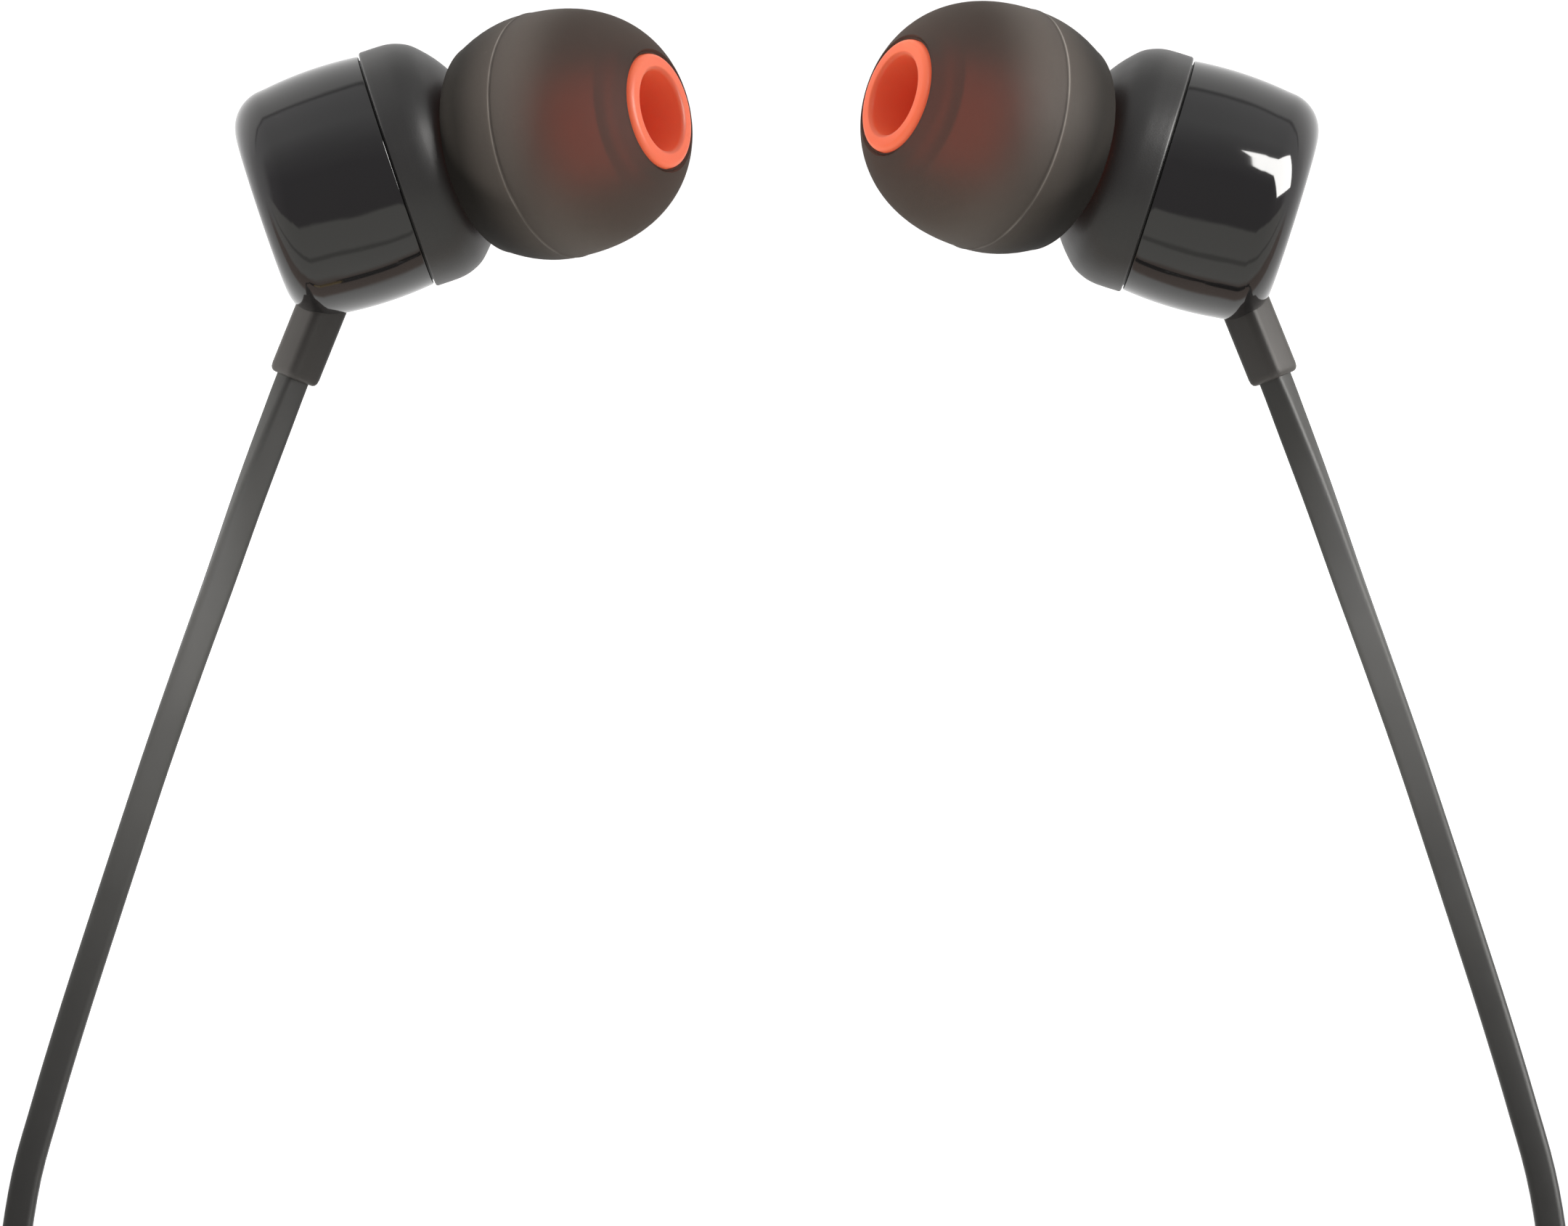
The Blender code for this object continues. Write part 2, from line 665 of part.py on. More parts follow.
def clear_of(coil, route):
    """The part of a route that stays a gap outside the coil's solid."""
    edge = coil["radius"] + coil_reach(coil) + CORD_WIDTH / 2 + CORD_RADIUS + CORD_GAP
    away = np.linalg.norm(route[:, :2] - coil["centre"], axis=1)
    return route[away > edge]


def make_coil(name):
    """The outer shape of a wound coil, and the strap round it."""
    coil = COILS[name]
    reach = coil_reach(coil) + CORD_WIDTH / 2
    outer = coil["radius"] + reach
    inner = coil["radius"] - reach
    top = COIL_BASE + LAYER_PITCH * coil["layers"]
    profile = (
        (top, inner + COIL_EDGE),
        (top, outer - COIL_EDGE),
        (top - COIL_EDGE, outer),
        (COIL_BASE, outer),
        (COIL_BASE, inner),
        (top - COIL_EDGE, inner),
    )
    centre = empty(f"{name}_coil_centre", ROOT, (*coil["centre"], 0))
    bundle = turned(f"{name}_coil", profile, COIL_SEGMENTS, axis="Z")
    place(f"{name}_cord_coil", finished(bundle), centre, CABLE)
    turn = Matrix.Rotation(math.radians(coil["tie"]), 4, "Z")
    height = top - TIE_THICKNESS / 2
    width = 2 * reach + TIE_ROOM
    centre_of_tie = (coil["radius"], 0, TIE_THICKNESS + height / 2)
    outside = (width + 2 * TIE_THICKNESS, TIE_WIDTH, height + 2 * TIE_THICKNESS)
    strap = box(f"{name}_tie", outside, centre_of_tie, turn, 0.4)
    cut(strap, box(f"{name}_tie_opening", (width, TIE_WIDTH + 1, height), centre_of_tie, turn, 0.2))
    mesh = finished(strap)
    mesh.transform(turn)
    place(f"{name}_coil_tie", mesh, centre, STRAP)


def make_cords():
    """The loose runs of cable between the earbuds, the coils and the pieces on the cable."""
    gap = CORD_GAP
    left_start = [(-x, y, z) for x, y, z in SIDE_RUN]
    exit_x = RELIEF_X + gap * math.cos(math.radians(RELIEF_ANGLE))
    exit_y = RELIEF_Y - gap * math.sin(math.radians(RELIEF_ANGLE))
    split_back = SPLIT_CENTRE[0] - SPLIT_SIZE[0] / 2 - gap
    split_front = SPLIT_CENTRE[0] + SPLIT_SIZE[0] / 2 + gap
    split_height = SPLIT_SIZE[2] / 2
    remote_height = REMOTE_SIZE[2] / 2
    remote_top = REMOTE_CENTRE[1] + REMOTE_SIZE[0] / 2 + gap
    remote_bottom = REMOTE_CENTRE[1] - REMOTE_SIZE[0] / 2 - gap
    left, right, main = COILS["left"], COILS["right"], COILS["main"]

    route = [(-exit_x, exit_y, AXIS_HEIGHT), *left_start, *LEFT_TO_COIL, coil_point(left, 180, 0)]
    lay_cord("left_cord_run", clear_of(left, smooth_route(route)))
    route = [coil_point(left, 300, 1), *LEFT_TO_SPLIT]
    route.append((split_back, SPLIT_CENTRE[1] + SPLIT_CORD_SPREAD, split_height))
    lay_cord("left_cord_end", clear_of(left, smooth_route(route)))

    route = [(exit_x, exit_y, AXIS_HEIGHT), *SIDE_RUN, *RIGHT_TO_REMOTE]
    route.append((REMOTE_CENTRE[0], remote_top, remote_height))
    lay_cord("right_cord_run", smooth_route(route))
    route = [(REMOTE_CENTRE[0], remote_bottom, remote_height), *REMOTE_TO_COIL, coil_point(right, 270, 0)]
    lay_cord("right_cord_middle", clear_of(right, smooth_route(route)))
    route = [coil_point(right, 55, 1), *RIGHT_TO_SPLIT]
    route.append((split_back, SPLIT_CENTRE[1] - SPLIT_CORD_SPREAD, split_height))
    lay_cord("right_cord_end", clear_of(right, smooth_route(route, 1.8)))

    route = [(split_front, SPLIT_CENTRE[1], split_height), *SPLIT_TO_COIL, coil_point(main, 0, 0)]
    lay_cord("main_cord_start", clear_of(main, smooth_route(route)))
    route = [coil_point(main, 90, 3), *COIL_TO_PLUG, (PLUG_END[0] + gap, PLUG_END[1], PLUG_HEIGHT)]
    lay_cord("main_cord_end", clear_of(main, smooth_route(route, 1.8)))


# ---------------------------------------------------------------- Y-split and remote


def make_y_split():
    """The moulded block that the two side cables enter and the main cable leaves."""
    centre = empty("y_split_centre", ROOT, (*SPLIT_CENTRE, 0))
    middle = (0, 0, SPLIT_SIZE[2] / 2)
    block = box("y_split", SPLIT_SIZE, middle, bevel=0.6, bevel_segments=2, taper=SPLIT_TAPER)
    place("y_split", finished(block), centre, MATTE_BLACK)


def make_remote():
    """The in-line remote: two shells, a button on a tact switch, and a microphone on the same board."""
    length, width, height = REMOTE_SIZE
    frame = empty("remote_centre", ROOT, (*REMOTE_CENTRE, 0), (0, 0, -90))
    middle = (0, 0, height / 2)
    hollow_size = (length - 2 * REMOTE_END_WALL, width - 2 * REMOTE_WALL, height - 2 * REMOTE_WALL)
    hollow = box("remote_hollow", hollow_size, middle, bevel=0.3)
    half_size = (length + 2, width + 2, height)
    upper = box("remote_upper_half", half_size, (0, 0, height - GAP / 2))
    lower = box("remote_lower_half", half_size, (0, 0, GAP / 2))
    well_size = (BUTTON_SIZE[0] + 2 * BUTTON_PLAY, BUTTON_SIZE[1] + 2 * BUTTON_PLAY, 3)
    well = box("button_well", well_size, (0, 0, height), bevel=0.6)
    downward = Matrix.Translation((MICROPHONE_X * MM, 0, 0)) @ Matrix.Rotation(math.pi / 2, 4, "Y")
    port = rod("microphone_port", 1, -3, 0.4, 8, downward)

    top = box("remote_front_shell", REMOTE_SIZE, middle, bevel=REMOTE_EDGE, bevel_segments=2)
    cut(top, hollow, lower, well)
    place("remote_front_shell", finished(top), frame, GLOSS_BLACK)
    bottom = box("remote_back_shell", REMOTE_SIZE, middle, bevel=REMOTE_EDGE, bevel_segments=2)
    cut(bottom, hollow, upper, port)
    place("remote_back_shell", finished(bottom), frame, MATTE_BLACK)

    button = box("button", BUTTON_SIZE, (0, 0, BUTTON_TOP - BUTTON_SIZE[2] / 2), bevel=0.5)
    join(button, box("button_flange", BUTTON_FLANGE, (0, 0, 3.275)))
    place("remote_button", finished(button), frame, MATTE_BLACK)
    board = box("remote_board", (19.0, 4.2, 0.5), (0, 0, 1.15))
    place("remote_board", finished(board), frame, BOARD)
    switch = box("remote_switch", (3.0, 3.0, 0.85), (0, 0, 1.93))
    place("remote_switch", finished(switch), frame, STEEL)
    capsule = box("microphone", (2.6, 2.0, 1.0), (6.6, 0, 2.0), bevel=0.15)
    place("remote_microphone", finished(capsule), frame, STEEL)


# ---------------------------------------------------------------- plug


def make_plug():
    """The four-pole plug, in a frame at the cable's end with +X along the pin."""
    frame = empty("plug_axis", ROOT, (*PLUG_END, PLUG_HEIGHT), (0, 0, 180))
    shoulder = BOOT_LENGTH + GRIP_LENGTH
    tip = shoulder + PIN_LENGTH
    grip = (
        (shoulder, 0),
        (shoulder, GRIP_RADIUS - 0.3),
        (shoulder - 0.4, GRIP_RADIUS),
        (BOOT_LENGTH + 1.0, GRIP_RADIUS),
        (BOOT_LENGTH, 2.5),
        (BOOT_LENGTH - 1.0, 1.9),
        (0, BOOT_RADIUS),
        (0, 0),
    )
    body = turned("plug_grip", grip, 20)
    cut(body, rod("plug_socket", shoulder + 1, shoulder - 5.0, PIN_RADIUS + GAP, 16))
    place("plug_grip", finished(body), frame, MATTE_BLACK)

    root = shoulder - PIN_ROOT
    sleeve_front = shoulder + SLEEVE_LENGTH
    ring_2_front = sleeve_front + PIN_COLLAR + GAP + RING_LENGTH
    ring_1_front = ring_2_front + PIN_COLLAR + GAP + RING_LENGTH
    insulator = [(ring_1_front + PIN_COLLAR, PIN_BORE)]
    for front, back in (
        (ring_1_front, ring_1_front - RING_LENGTH),
        (ring_2_front, ring_2_front - RING_LENGTH),
        (sleeve_front, root),
    ):
        step = front + GAP / 2
        insulator += [(front + PIN_COLLAR, PIN_RADIUS), (step, PIN_RADIUS)]
        insulator += [(step, PIN_CORE), (back, PIN_CORE)]
    insulator.append((root, PIN_BORE))
    place("plug_insulator", finished(turned("plug_insulator", insulator, 16)), frame, NATURAL_PLASTIC)
    inner = PIN_CORE + 0.08
    sleeve = ring("plug_sleeve_contact", sleeve_front, root, PIN_RADIUS, inner, 16)
    place("plug_sleeve_contact", finished(sleeve), frame, GOLD)
    for number, front in ((1, ring_1_front), (2, ring_2_front)):
        contact = ring(f"plug_ring_{number}", front, front - RING_LENGTH, PIN_RADIUS, inner, 16)
        place(f"plug_ring_{number}", finished(contact), frame, GOLD)
    neck = ring_1_front + PIN_COLLAR + GAP / 2
    point = (
        (tip, 0),
        (tip - 0.15, 0.6),
        (tip - 1.2, 1.55),
        (tip - 1.7, PIN_RADIUS),
        (tip - 2.3, 1.2),
        (neck + 0.55, 1.45),
        (neck, 1.5),
        (neck, PIN_BORE - GAP),
        (root, PIN_BORE - GAP),
        (root, 0),
    )
    place("plug_tip", finished(turned("plug_tip", point, 16)), frame, GOLD)


make_front_shell()
make_nozzle_screen()
make_strain_relief()
make_tip_core()
make_tip_skirt()
make_driver()
for side in SIDES:
    make_rear_cover(side)
    make_lead_wires(side)
for name in COILS:
    make_coil(name)
make_cords()
make_y_split()
make_remote()
make_plug()
for obj in list(CUTTERS.objects):
    bpy.data.objects.remove(obj)
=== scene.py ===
"""Wired in-ear earphones, laid out flat: the visible model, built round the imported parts.

Turned pieces are drawn as outlines of (along the axis, radius) in millimetres, about an axis that is +X. Flat
cable is swept along its route in metres. Each piece rides on the body of the part that it stands for.
"""

import json
import math
from collections import namedtuple

import bmesh
import bpy
import numpy as np
from mathutils import Matrix, Vector
from mathutils.bvhtree import BVHTree
from mathutils.interpolate import poly_3d_calc


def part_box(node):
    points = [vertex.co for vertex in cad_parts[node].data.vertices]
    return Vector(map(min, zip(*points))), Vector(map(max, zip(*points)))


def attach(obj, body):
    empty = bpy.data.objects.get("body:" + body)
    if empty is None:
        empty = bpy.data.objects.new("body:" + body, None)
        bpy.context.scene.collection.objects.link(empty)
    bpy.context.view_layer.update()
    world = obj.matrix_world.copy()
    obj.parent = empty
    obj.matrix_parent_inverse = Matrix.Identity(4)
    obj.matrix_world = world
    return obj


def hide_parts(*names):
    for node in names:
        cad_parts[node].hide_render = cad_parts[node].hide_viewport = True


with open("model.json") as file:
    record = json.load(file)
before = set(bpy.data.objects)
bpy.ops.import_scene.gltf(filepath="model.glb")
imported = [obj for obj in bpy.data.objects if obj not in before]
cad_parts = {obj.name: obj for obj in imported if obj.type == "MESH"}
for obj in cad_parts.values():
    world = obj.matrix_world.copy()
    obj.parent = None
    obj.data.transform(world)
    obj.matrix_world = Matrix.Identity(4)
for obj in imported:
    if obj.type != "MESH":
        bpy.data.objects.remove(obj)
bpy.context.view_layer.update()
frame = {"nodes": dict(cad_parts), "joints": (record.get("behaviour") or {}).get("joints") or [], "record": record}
NODES = frame["nodes"]
JOINT_AXES = {joint["name"]: Vector(joint["axis"]).normalized() for joint in frame["joints"]}
ROOT = "earphones"

MM = 0.001
SIDES = {"left": -1, "right": 1}
UP = Vector((0, 0, 1))

# The camera looks straight down over the middle of the layout.
LAYOUT_CENTRE = Vector((0.36, -20.89, 6.17)) * MM
LAYOUT_MIDDLE = Vector((LAYOUT_CENTRE.x, LAYOUT_CENTRE.y, 0))
CAMERA_HEIGHT = 0.6
CAMERA_LENS = 275.0
FLOOR_HALF = 2.0

# Flat cable, in metres: its section, how it lies in a coil, and how a strain relief rolls its start.
CORD_WIDTH = 0.0015
CORD_HEIGHT = 0.00124
CORD_CORNER = 0.00033
CORD_PLAY = 0.00004
CORD_STEP = 0.001
CORD_SPREAD = 0.0012
SOCKET_DEPTH = 0.001
REMOTE_HEIGHT = 0.0022
COIL_FLOOR = 0.00105
LAYER_PITCH = 0.00125
TURN_PITCH = 0.0017
TURN_STEPS = 32
CLIMB_START = 0.9
HELD_ROLL = math.radians(50)
HELD_LENGTH = 0.008

# Each coil: its centre, mean radius and layers, its turns (negative is clockwise), and the angles in degrees
# where the cable enters it and where its tie holds it.
Coil = namedtuple("Coil", "centre radius layers turns entry tie")
COILS = {
    "left": Coil((-0.0287, -0.057), 0.0087, 2, 4 + 120 / 360, 180, 60),
    "right": Coil((0.0015, -0.07655), 0.0094, 2, -(3 + 215 / 360), 270, 160),
    "main": Coil((0.0215, -0.051), 0.0095, 4, 13.25, 0, 225),
}

# The ties' straps, in metres, and how near to a tie's middle a turn lies that it holds, as a cosine.
TIE_WIDTH = 0.003
TIE_THICKNESS = 0.0003
TIE_CLEARANCE = 0.00006
TIE_CORNER = 0.0008
TIE_STEP = 0.0003
TIE_RISE_STEPS = 5
TIE_LIFT = 1.1
TIE_REACH = math.cos(math.radians(12))

# Routes of the loose cable, in metres from the layout's middle.
SIDE_RUN = (
    (0.02513, 0.01035, 0.00615), (0.02676, 0.00598, 0.0059), (0.02832, 0.00162, 0.0051),
    (0.02995, -0.00276, 0.0039), (0.03154, -0.00715, 0.0027), (0.03304, -0.01155, 0.0017),
    (0.03451, -0.01597, 0.00105), (0.03594, -0.02038, 0.0007), (0.03727, -0.02479, 0.0006),
    (0.03844, -0.0292, 0.0006),
)
LEFT_TO_COIL = ((-0.03915, -0.035, 0.0006), (-0.03935, -0.043, 0.0006), (-0.0393, -0.051, 0.00075))
LEFT_TO_SPLIT = (
    (-0.0186, -0.0639, 0.0019), (-0.012, -0.0625, 0.0011), (-0.0045, -0.0622, 0.0006),
    (0.0025, -0.0626, 0.0006), (0.0085, -0.0646, 0.00065), (0.0126, -0.068, 0.0011),
    (0.0146, -0.0696, 0.0014),
)
RIGHT_TO_REMOTE = ((0.03925, -0.035, 0.0006), (0.03965, -0.04, 0.0009), (0.0398, -0.044, 0.0017))
REMOTE_TO_COIL = (
    (0.0398, -0.0754, 0.0018), (0.0389, -0.0794, 0.001), (0.0362, -0.0832, 0.00065),
    (0.0316, -0.086, 0.0006), (0.0255, -0.0873, 0.0006), (0.0175, -0.0876, 0.0006),
    (0.0095, -0.0876, 0.00075),
)
RIGHT_TO_SPLIT = ((0.0119, -0.0705, 0.0019), (0.0144, -0.0721, 0.0016))
SPLIT_TO_COIL = (
    (0.0296, -0.0713, 0.0012), (0.0322, -0.0695, 0.0008), (0.0336, -0.0662, 0.0006),
    (0.0338, -0.061, 0.0007), (0.03378, -0.056, 0.0009),
)
COIL_TO_PLUG = ((0.016, -0.0386, 0.0046), (0.012, -0.0381, 0.0036))

# Housing outlines, in millimetres along the earbud's axis from the seam, as (along, radius).
COVER_FRONT = -0.01
COVER_BACK = -7.1
COVER_RADIUS = 6.13
COVER_WIDEST = -2.3
COVER_BARREL = 0.026
COVER_EDGE = 0.1
COVER_CORNER = 2.0
COVER_CROWN = [(COVER_BACK - 0.05, 2.2), (COVER_BACK - 0.07, 0)]
COVER_BORE = 5.2
COVER_FLOOR = -6.4
COVER_FILLET = 1.45
SHELL_BACK = 0.06
SEAM_LIP = 5.76
SEAM_STEP = -0.4
LIP_GAP = 0.04
STEP_GAP = 0.06
SHELL_RADIUS = 6.15
SHELL_EDGE = 0.11
SHOULDER = [(2.67, 5.66), (2.06, 5.98), (1.5, 6.12), (0.9, SHELL_RADIUS), (0.4, SHELL_RADIUS)]
SPIGOT = [(SHELL_BACK, SEAM_LIP), (SEAM_STEP, SEAM_LIP), (SEAM_STEP, 5.1), (-1.15, 5.1), (-1.2, 5.05)]
DRIVER_SEAT = [(-1.2, 4.6), (1.3, 4.6), (1.3, 4.0)]
DOME_CENTRE = (-1.5, 0.8)
DOME_RADIUS = 6.4
DOME_REACH = 5
CHAMBER_RADIUS = 5.5
CHAMBER_REACH = 4
MAGNET_BACK = 0.925

# Nozzle and screen, in millimetres along the nozzle's axis. A third number is the rounding of a corner.
NOZZLE = [
    (7.9, 0, 0), (7.9, 1.75, 0.1), (7.2, 1.75, 0.08), (7.05, 1.95, 0.08), (6.65, 1.95, 0.08),
    (6.4, 1.75, 0.08), (3.95, 1.75, 0.05), (3.95, 2.3, 0.12), (3.2, 2.3, 0.1), (2.6, 1.7, 0.1),
    (2.6, 0, 0),
]
NOZZLE_BORE = [(9, 0), (9, 1.5), (7.45, 1.5), (7.45, 1.15), (1, 1.15), (1, 0)]
SCREEN_RING = [(7.76, 1.26, 0.04), (7.76, 1.46, 0.04), (7.54, 1.46, 0.04), (7.54, 1.26, 0.04)]
SCREEN_AT = 7.65
SCREEN_RADIUS = 1.36
WIRE_COUNT = 4
WIRE_PITCH = 0.3
WIRE_RADIUS = 0.045
WIRE_WAVE = 0.035
WIRE_SIDES = 6

# Strain relief, in millimetres along the cable from its outer end: its section, the (along, inset) places
# where that narrows, its flange, the opening for it in the cover, and how it leans and is rolled.
RELIEF_SECTION = (1.9, 2.3)
RELIEF_CORNER = 0.52
RELIEF_STATIONS = [(-5.6, 0), (-0.4, 0), (-0.2, 0.03), (-0.08, 0.1), (-0.02, 0.2), (0, 0.32)]
RELIEF_FLANGE = [(-5.5, 0, 0), (-5.5, 1.45, 0.12), (-6.1, 1.45, 0.12), (-6.1, 0, 0)]
OPENING_ROOM = 0.16
OPENING_CORNER = 0.46
OPENING_ENDS = (-7.1, -2.0)
RELIEF_LEAN = math.radians(68)
RELIEF_ROLL = math.radians(40)

# Ear tip outlines, in millimetres along the nozzle's axis. SKIRT_FRONT, SKIRT_REAR and SKIRT_INSIDE are
# distances ahead of the skirt's rear rim where its outline is drawn, with the mould line between the first
# two. The glow table says how strongly each part of the core glows: painted light, an emission that stands in
# for light falling on the core and shining through the skirt.
CORE_BACK = 4.05
CORE_RIM = 11.9
CORE_BORE = 2.05
CORE = [
    (13.2, 2.9, 0.3), (CORE_RIM, 2.9, 0.4), (11.3, 2.7, 0.4), (CORE_BACK, 2.7, 0.12),
    (CORE_BACK, CORE_BORE, 0.12), (13.2, CORE_BORE, 0.24),
]
TIP_BACK = 3.38
TIP_RADIUS = 6.2
TIP_WIDEST = 3.35
TIP_TAPER = 0.086
TIP_DOME = 6.91
TIP_POWER = 2.34
TIP_WALL = 0.45
SKIRT_FRONT = [*np.linspace(9.62, 8.0, 9), *np.linspace(7.8, 3.8, 16), 3.66]
SKIRT_REAR = [3.34, 3.1, 2.8, 2.5, 2.2, 1.8, 1.4, 1.0, 0.6, 0.35]
SKIRT_INSIDE = np.linspace(0.4, 8.3, 26)
TIP_LAND = [(11.6, 2.92, 0), (12.86, 2.92, 0.05), (13.0, 3.05, 0.05)]
MOULD_LINE = 3.5
MOULD_RIDGE = [(0.07, 0.006), (0.035, 0.024), (0.0, 0.03), (-0.035, 0.024), (-0.07, 0.006)]
PAINTED_GLOW = {"bore": 0.12, "stem": 1.0, "rim": 0.6}

# Y-split: its corners and rounded ends in millimetres, the straight share of its length, and its taper.
SPLIT_CORNER = 1.0
SPLIT_END = 0.7
SPLIT_STRAIGHT = 0.86
SPLIT_TAPER = 0.28

# Remote, in millimetres: the boxes that it is made of or cut with, and the hole for sound, as (down, radius).
Box = namedtuple("Box", "size height rounding steps", defaults=(0, 0))
REMOTE_BODY = Box((24.0, 6.2, 4.4), 2.2, 1.2, 8)
REMOTE_HOLLOW = Box((21.6, 4.6, 2.8), 2.2, 0.4, 3)
BELOW_SEAM = Box((30, 10, 6), 2.2 - 3.04)
ABOVE_SEAM = Box((30, 10, 6), 2.2 + 3.04)
KEY_OPENING = Box((7.24, 3.44, 3), 4.4, 0.6, 6)
KEY = Box((7, 3.2, 1.9), 3.75, 0.5, 6)
KEY_FLANGE = Box((8.2, 4.2, 0.35), 3.275, 0.1, 3)
KEY_BAR = Box((2.4, 0.5, 0.5), 4.62, 0.2, 4)
SOUND_HOLE = [(1.0, 0), (1.0, 0.4), (-3, 0.4), (-3, 0)]
SOUND_HOLE_AT = 7.5

# Plug, in millimetres along it from the boot's end. The tip is measured from the end of the pin, and its neck
# from the last collar.
BOOT_FACE = [(0.0, 0), (0.0, 1.14), (0.06, 1.26)]
BOOT_LENGTH = 6.0
BOOT_RADIUS = 1.28
BOOT_SLOPE = 0.19
GROOVES = (0.8, 5.6)
GROOVE_PITCH = 1.2
GROOVE_DEPTH = 0.26
GRIP_START = 2.42
GRIP_SWELL = 0.68
SWELL_LENGTH = 1.4
WAIST_DEPTH = 0.18
GRIP_LINE = 1.6
LINE_HALF = 0.12
LINE_DEPTH = 0.08
GRIP_EDGE = 0.45
PIN_SOCKET = 1.85
PIN_SOCKET_DEPTH = 5.0
PIN_RADIUS = 1.75
PIN_EDGE = 0.07
CONTACT_BORE = 1.08
RING_LENGTH = 1.8
COLLAR_LENGTH = 0.6
COLLAR_RADIUS = 1.73
COLLAR_EDGE = 0.05
INSULATOR_RADIUS = 1.0
INSULATOR_BORE = 0.6
ROD_RADIUS = 0.5
NECK = [(0.35, 1.5), (COLLAR_EDGE, 1.52)]
PIN_TIP = [
    (0, 0), (-0.02, 0.35), (-0.12, 0.62), (-0.6, 1.12), (-1.2, 1.55), (-1.5, 1.71), (-1.68, 1.75),
    (-1.85, 1.7), (-2.25, 1.28), (-2.4, 1.22), (-2.6, 1.3),
]


# --- shader building


class Nodes:
    """Short ways to add nodes to a material or the world."""

    def __init__(self, owner):
        owner.use_nodes = True
        self.tree = owner.node_tree

    def node(self, kind, inputs=None, **settings):
        made = self.tree.nodes.new("ShaderNode" + kind)
        for key, value in settings.items():
            setattr(made, key, value)
        for key, value in (inputs or {}).items():
            self.put(value, made.inputs[key])
        return made

    def put(self, value, socket):
        """Links an output to the socket, or sets the socket to a value."""
        if isinstance(value, bpy.types.NodeSocket):
            self.tree.links.new(value, socket)
        elif isinstance(value, tuple) and len(value) == 3 and socket.type == "RGBA":
            socket.default_value = (*value, 1.0)
        else:
            socket.default_value = value

    def place(self, scale=(1, 1, 1)):
        """Positions in the shared frame, for a texture stretched by the scale."""
        coords = self.node("TexCoord").outputs["Object"]
        return self.node("Mapping", {"Vector": coords, "Scale": scale}, vector_type="TEXTURE").outputs[0]

    def noise(self, size, detail=2.0, where=None, stretch=(1, 1, 1)):
        """Noise whose features are about this many metres across."""
        inputs = {"Vector": where or self.place(stretch), "Scale": 1.0 / size, "Detail": detail}
        return self.node("TexNoise", inputs).outputs["Fac"]

    def waves(self, size, direction, distortion):
        inputs = {"Vector": self.place(), "Scale": 1.0 / size, "Distortion": distortion}
        return self.node("TexWave", inputs, bands_direction=direction).outputs["Fac"]

    def between(self, value, low, high, start=0.0, end=1.0, smooth=False):
        """The value's range start to end, stretched onto low to high."""
        inputs = dict(enumerate((value, start, end, low, high)))
        kind = "SMOOTHSTEP" if smooth else "LINEAR"
        return self.node("MapRange", inputs, interpolation_type=kind).outputs[0]

    def math(self, operation, *values):
        return self.node("Math", dict(enumerate(values)), operation=operation).outputs[0]

    def mix(self, share, first, second):
        return self.node("Mix", {"Factor": share, 6: first, 7: second}, data_type="RGBA").outputs[2]


class Shader(Nodes):
    """A new material, and short ways to finish its surface."""

    def __init__(self, name):
        self.material = bpy.data.materials.new(name)
        super().__init__(self.material)
        self.surface = self.tree.nodes["Principled BSDF"]
        self.output = self.tree.nodes["Material Output"]

    def set(self, **inputs):
        for key, value in inputs.items():
            self.put(value, self.surface.inputs[key.replace("_", " ")])

    def bump(self, height, depth):
        """Roughens the surface by a height field this many metres deep, over any bump before it."""
        normal = self.surface.inputs["Normal"]
        inputs = {"Height": height, "Distance": depth}
        if normal.links:
            inputs["Normal"] = normal.links[0].from_socket
        made = self.node("Bump", inputs).outputs["Normal"]
        self.put(made, normal)
        return made


def moulded(name, color, roughness, grain=0.00006, grain_depth=0.000002, specular=0.5):
    """Moulded plastic or rubber: slightly uneven colour and gloss over a fine spark-eroded grain."""
    shader = Shader(name)
    darker = tuple(0.82 * c for c in color)
    lighter = tuple(1.15 * c for c in color)
    shader.set(
        Base_Color=shader.mix(shader.noise(0.004), darker, lighter),
        Roughness=shader.between(shader.noise(0.0015), roughness - 0.06, roughness + 0.06),
        Specular_IOR_Level=specular,
    )
    shader.bump(shader.noise(grain, 3.0), grain_depth)
    return shader.material


def metal(name, color, roughness, wound=False):
    """Metal with a fine turned or rolled grain, and over it the lines of wound wire on a coil."""
    shader = Shader(name)
    grain = shader.noise(0.0002, 4.0)
    shader.set(
        Base_Color=shader.mix(grain, tuple(0.85 * c for c in color), color),
        Metallic=1.0,
        Roughness=shader.between(grain, 0.7 * roughness, 1.4 * roughness),
    )
    shader.bump(grain, 0.000001)
    if wound:
        shader.bump(shader.noise(0.00006, 1.0, stretch=(0.3, 3, 3)), 0.000004)
    return shader.material


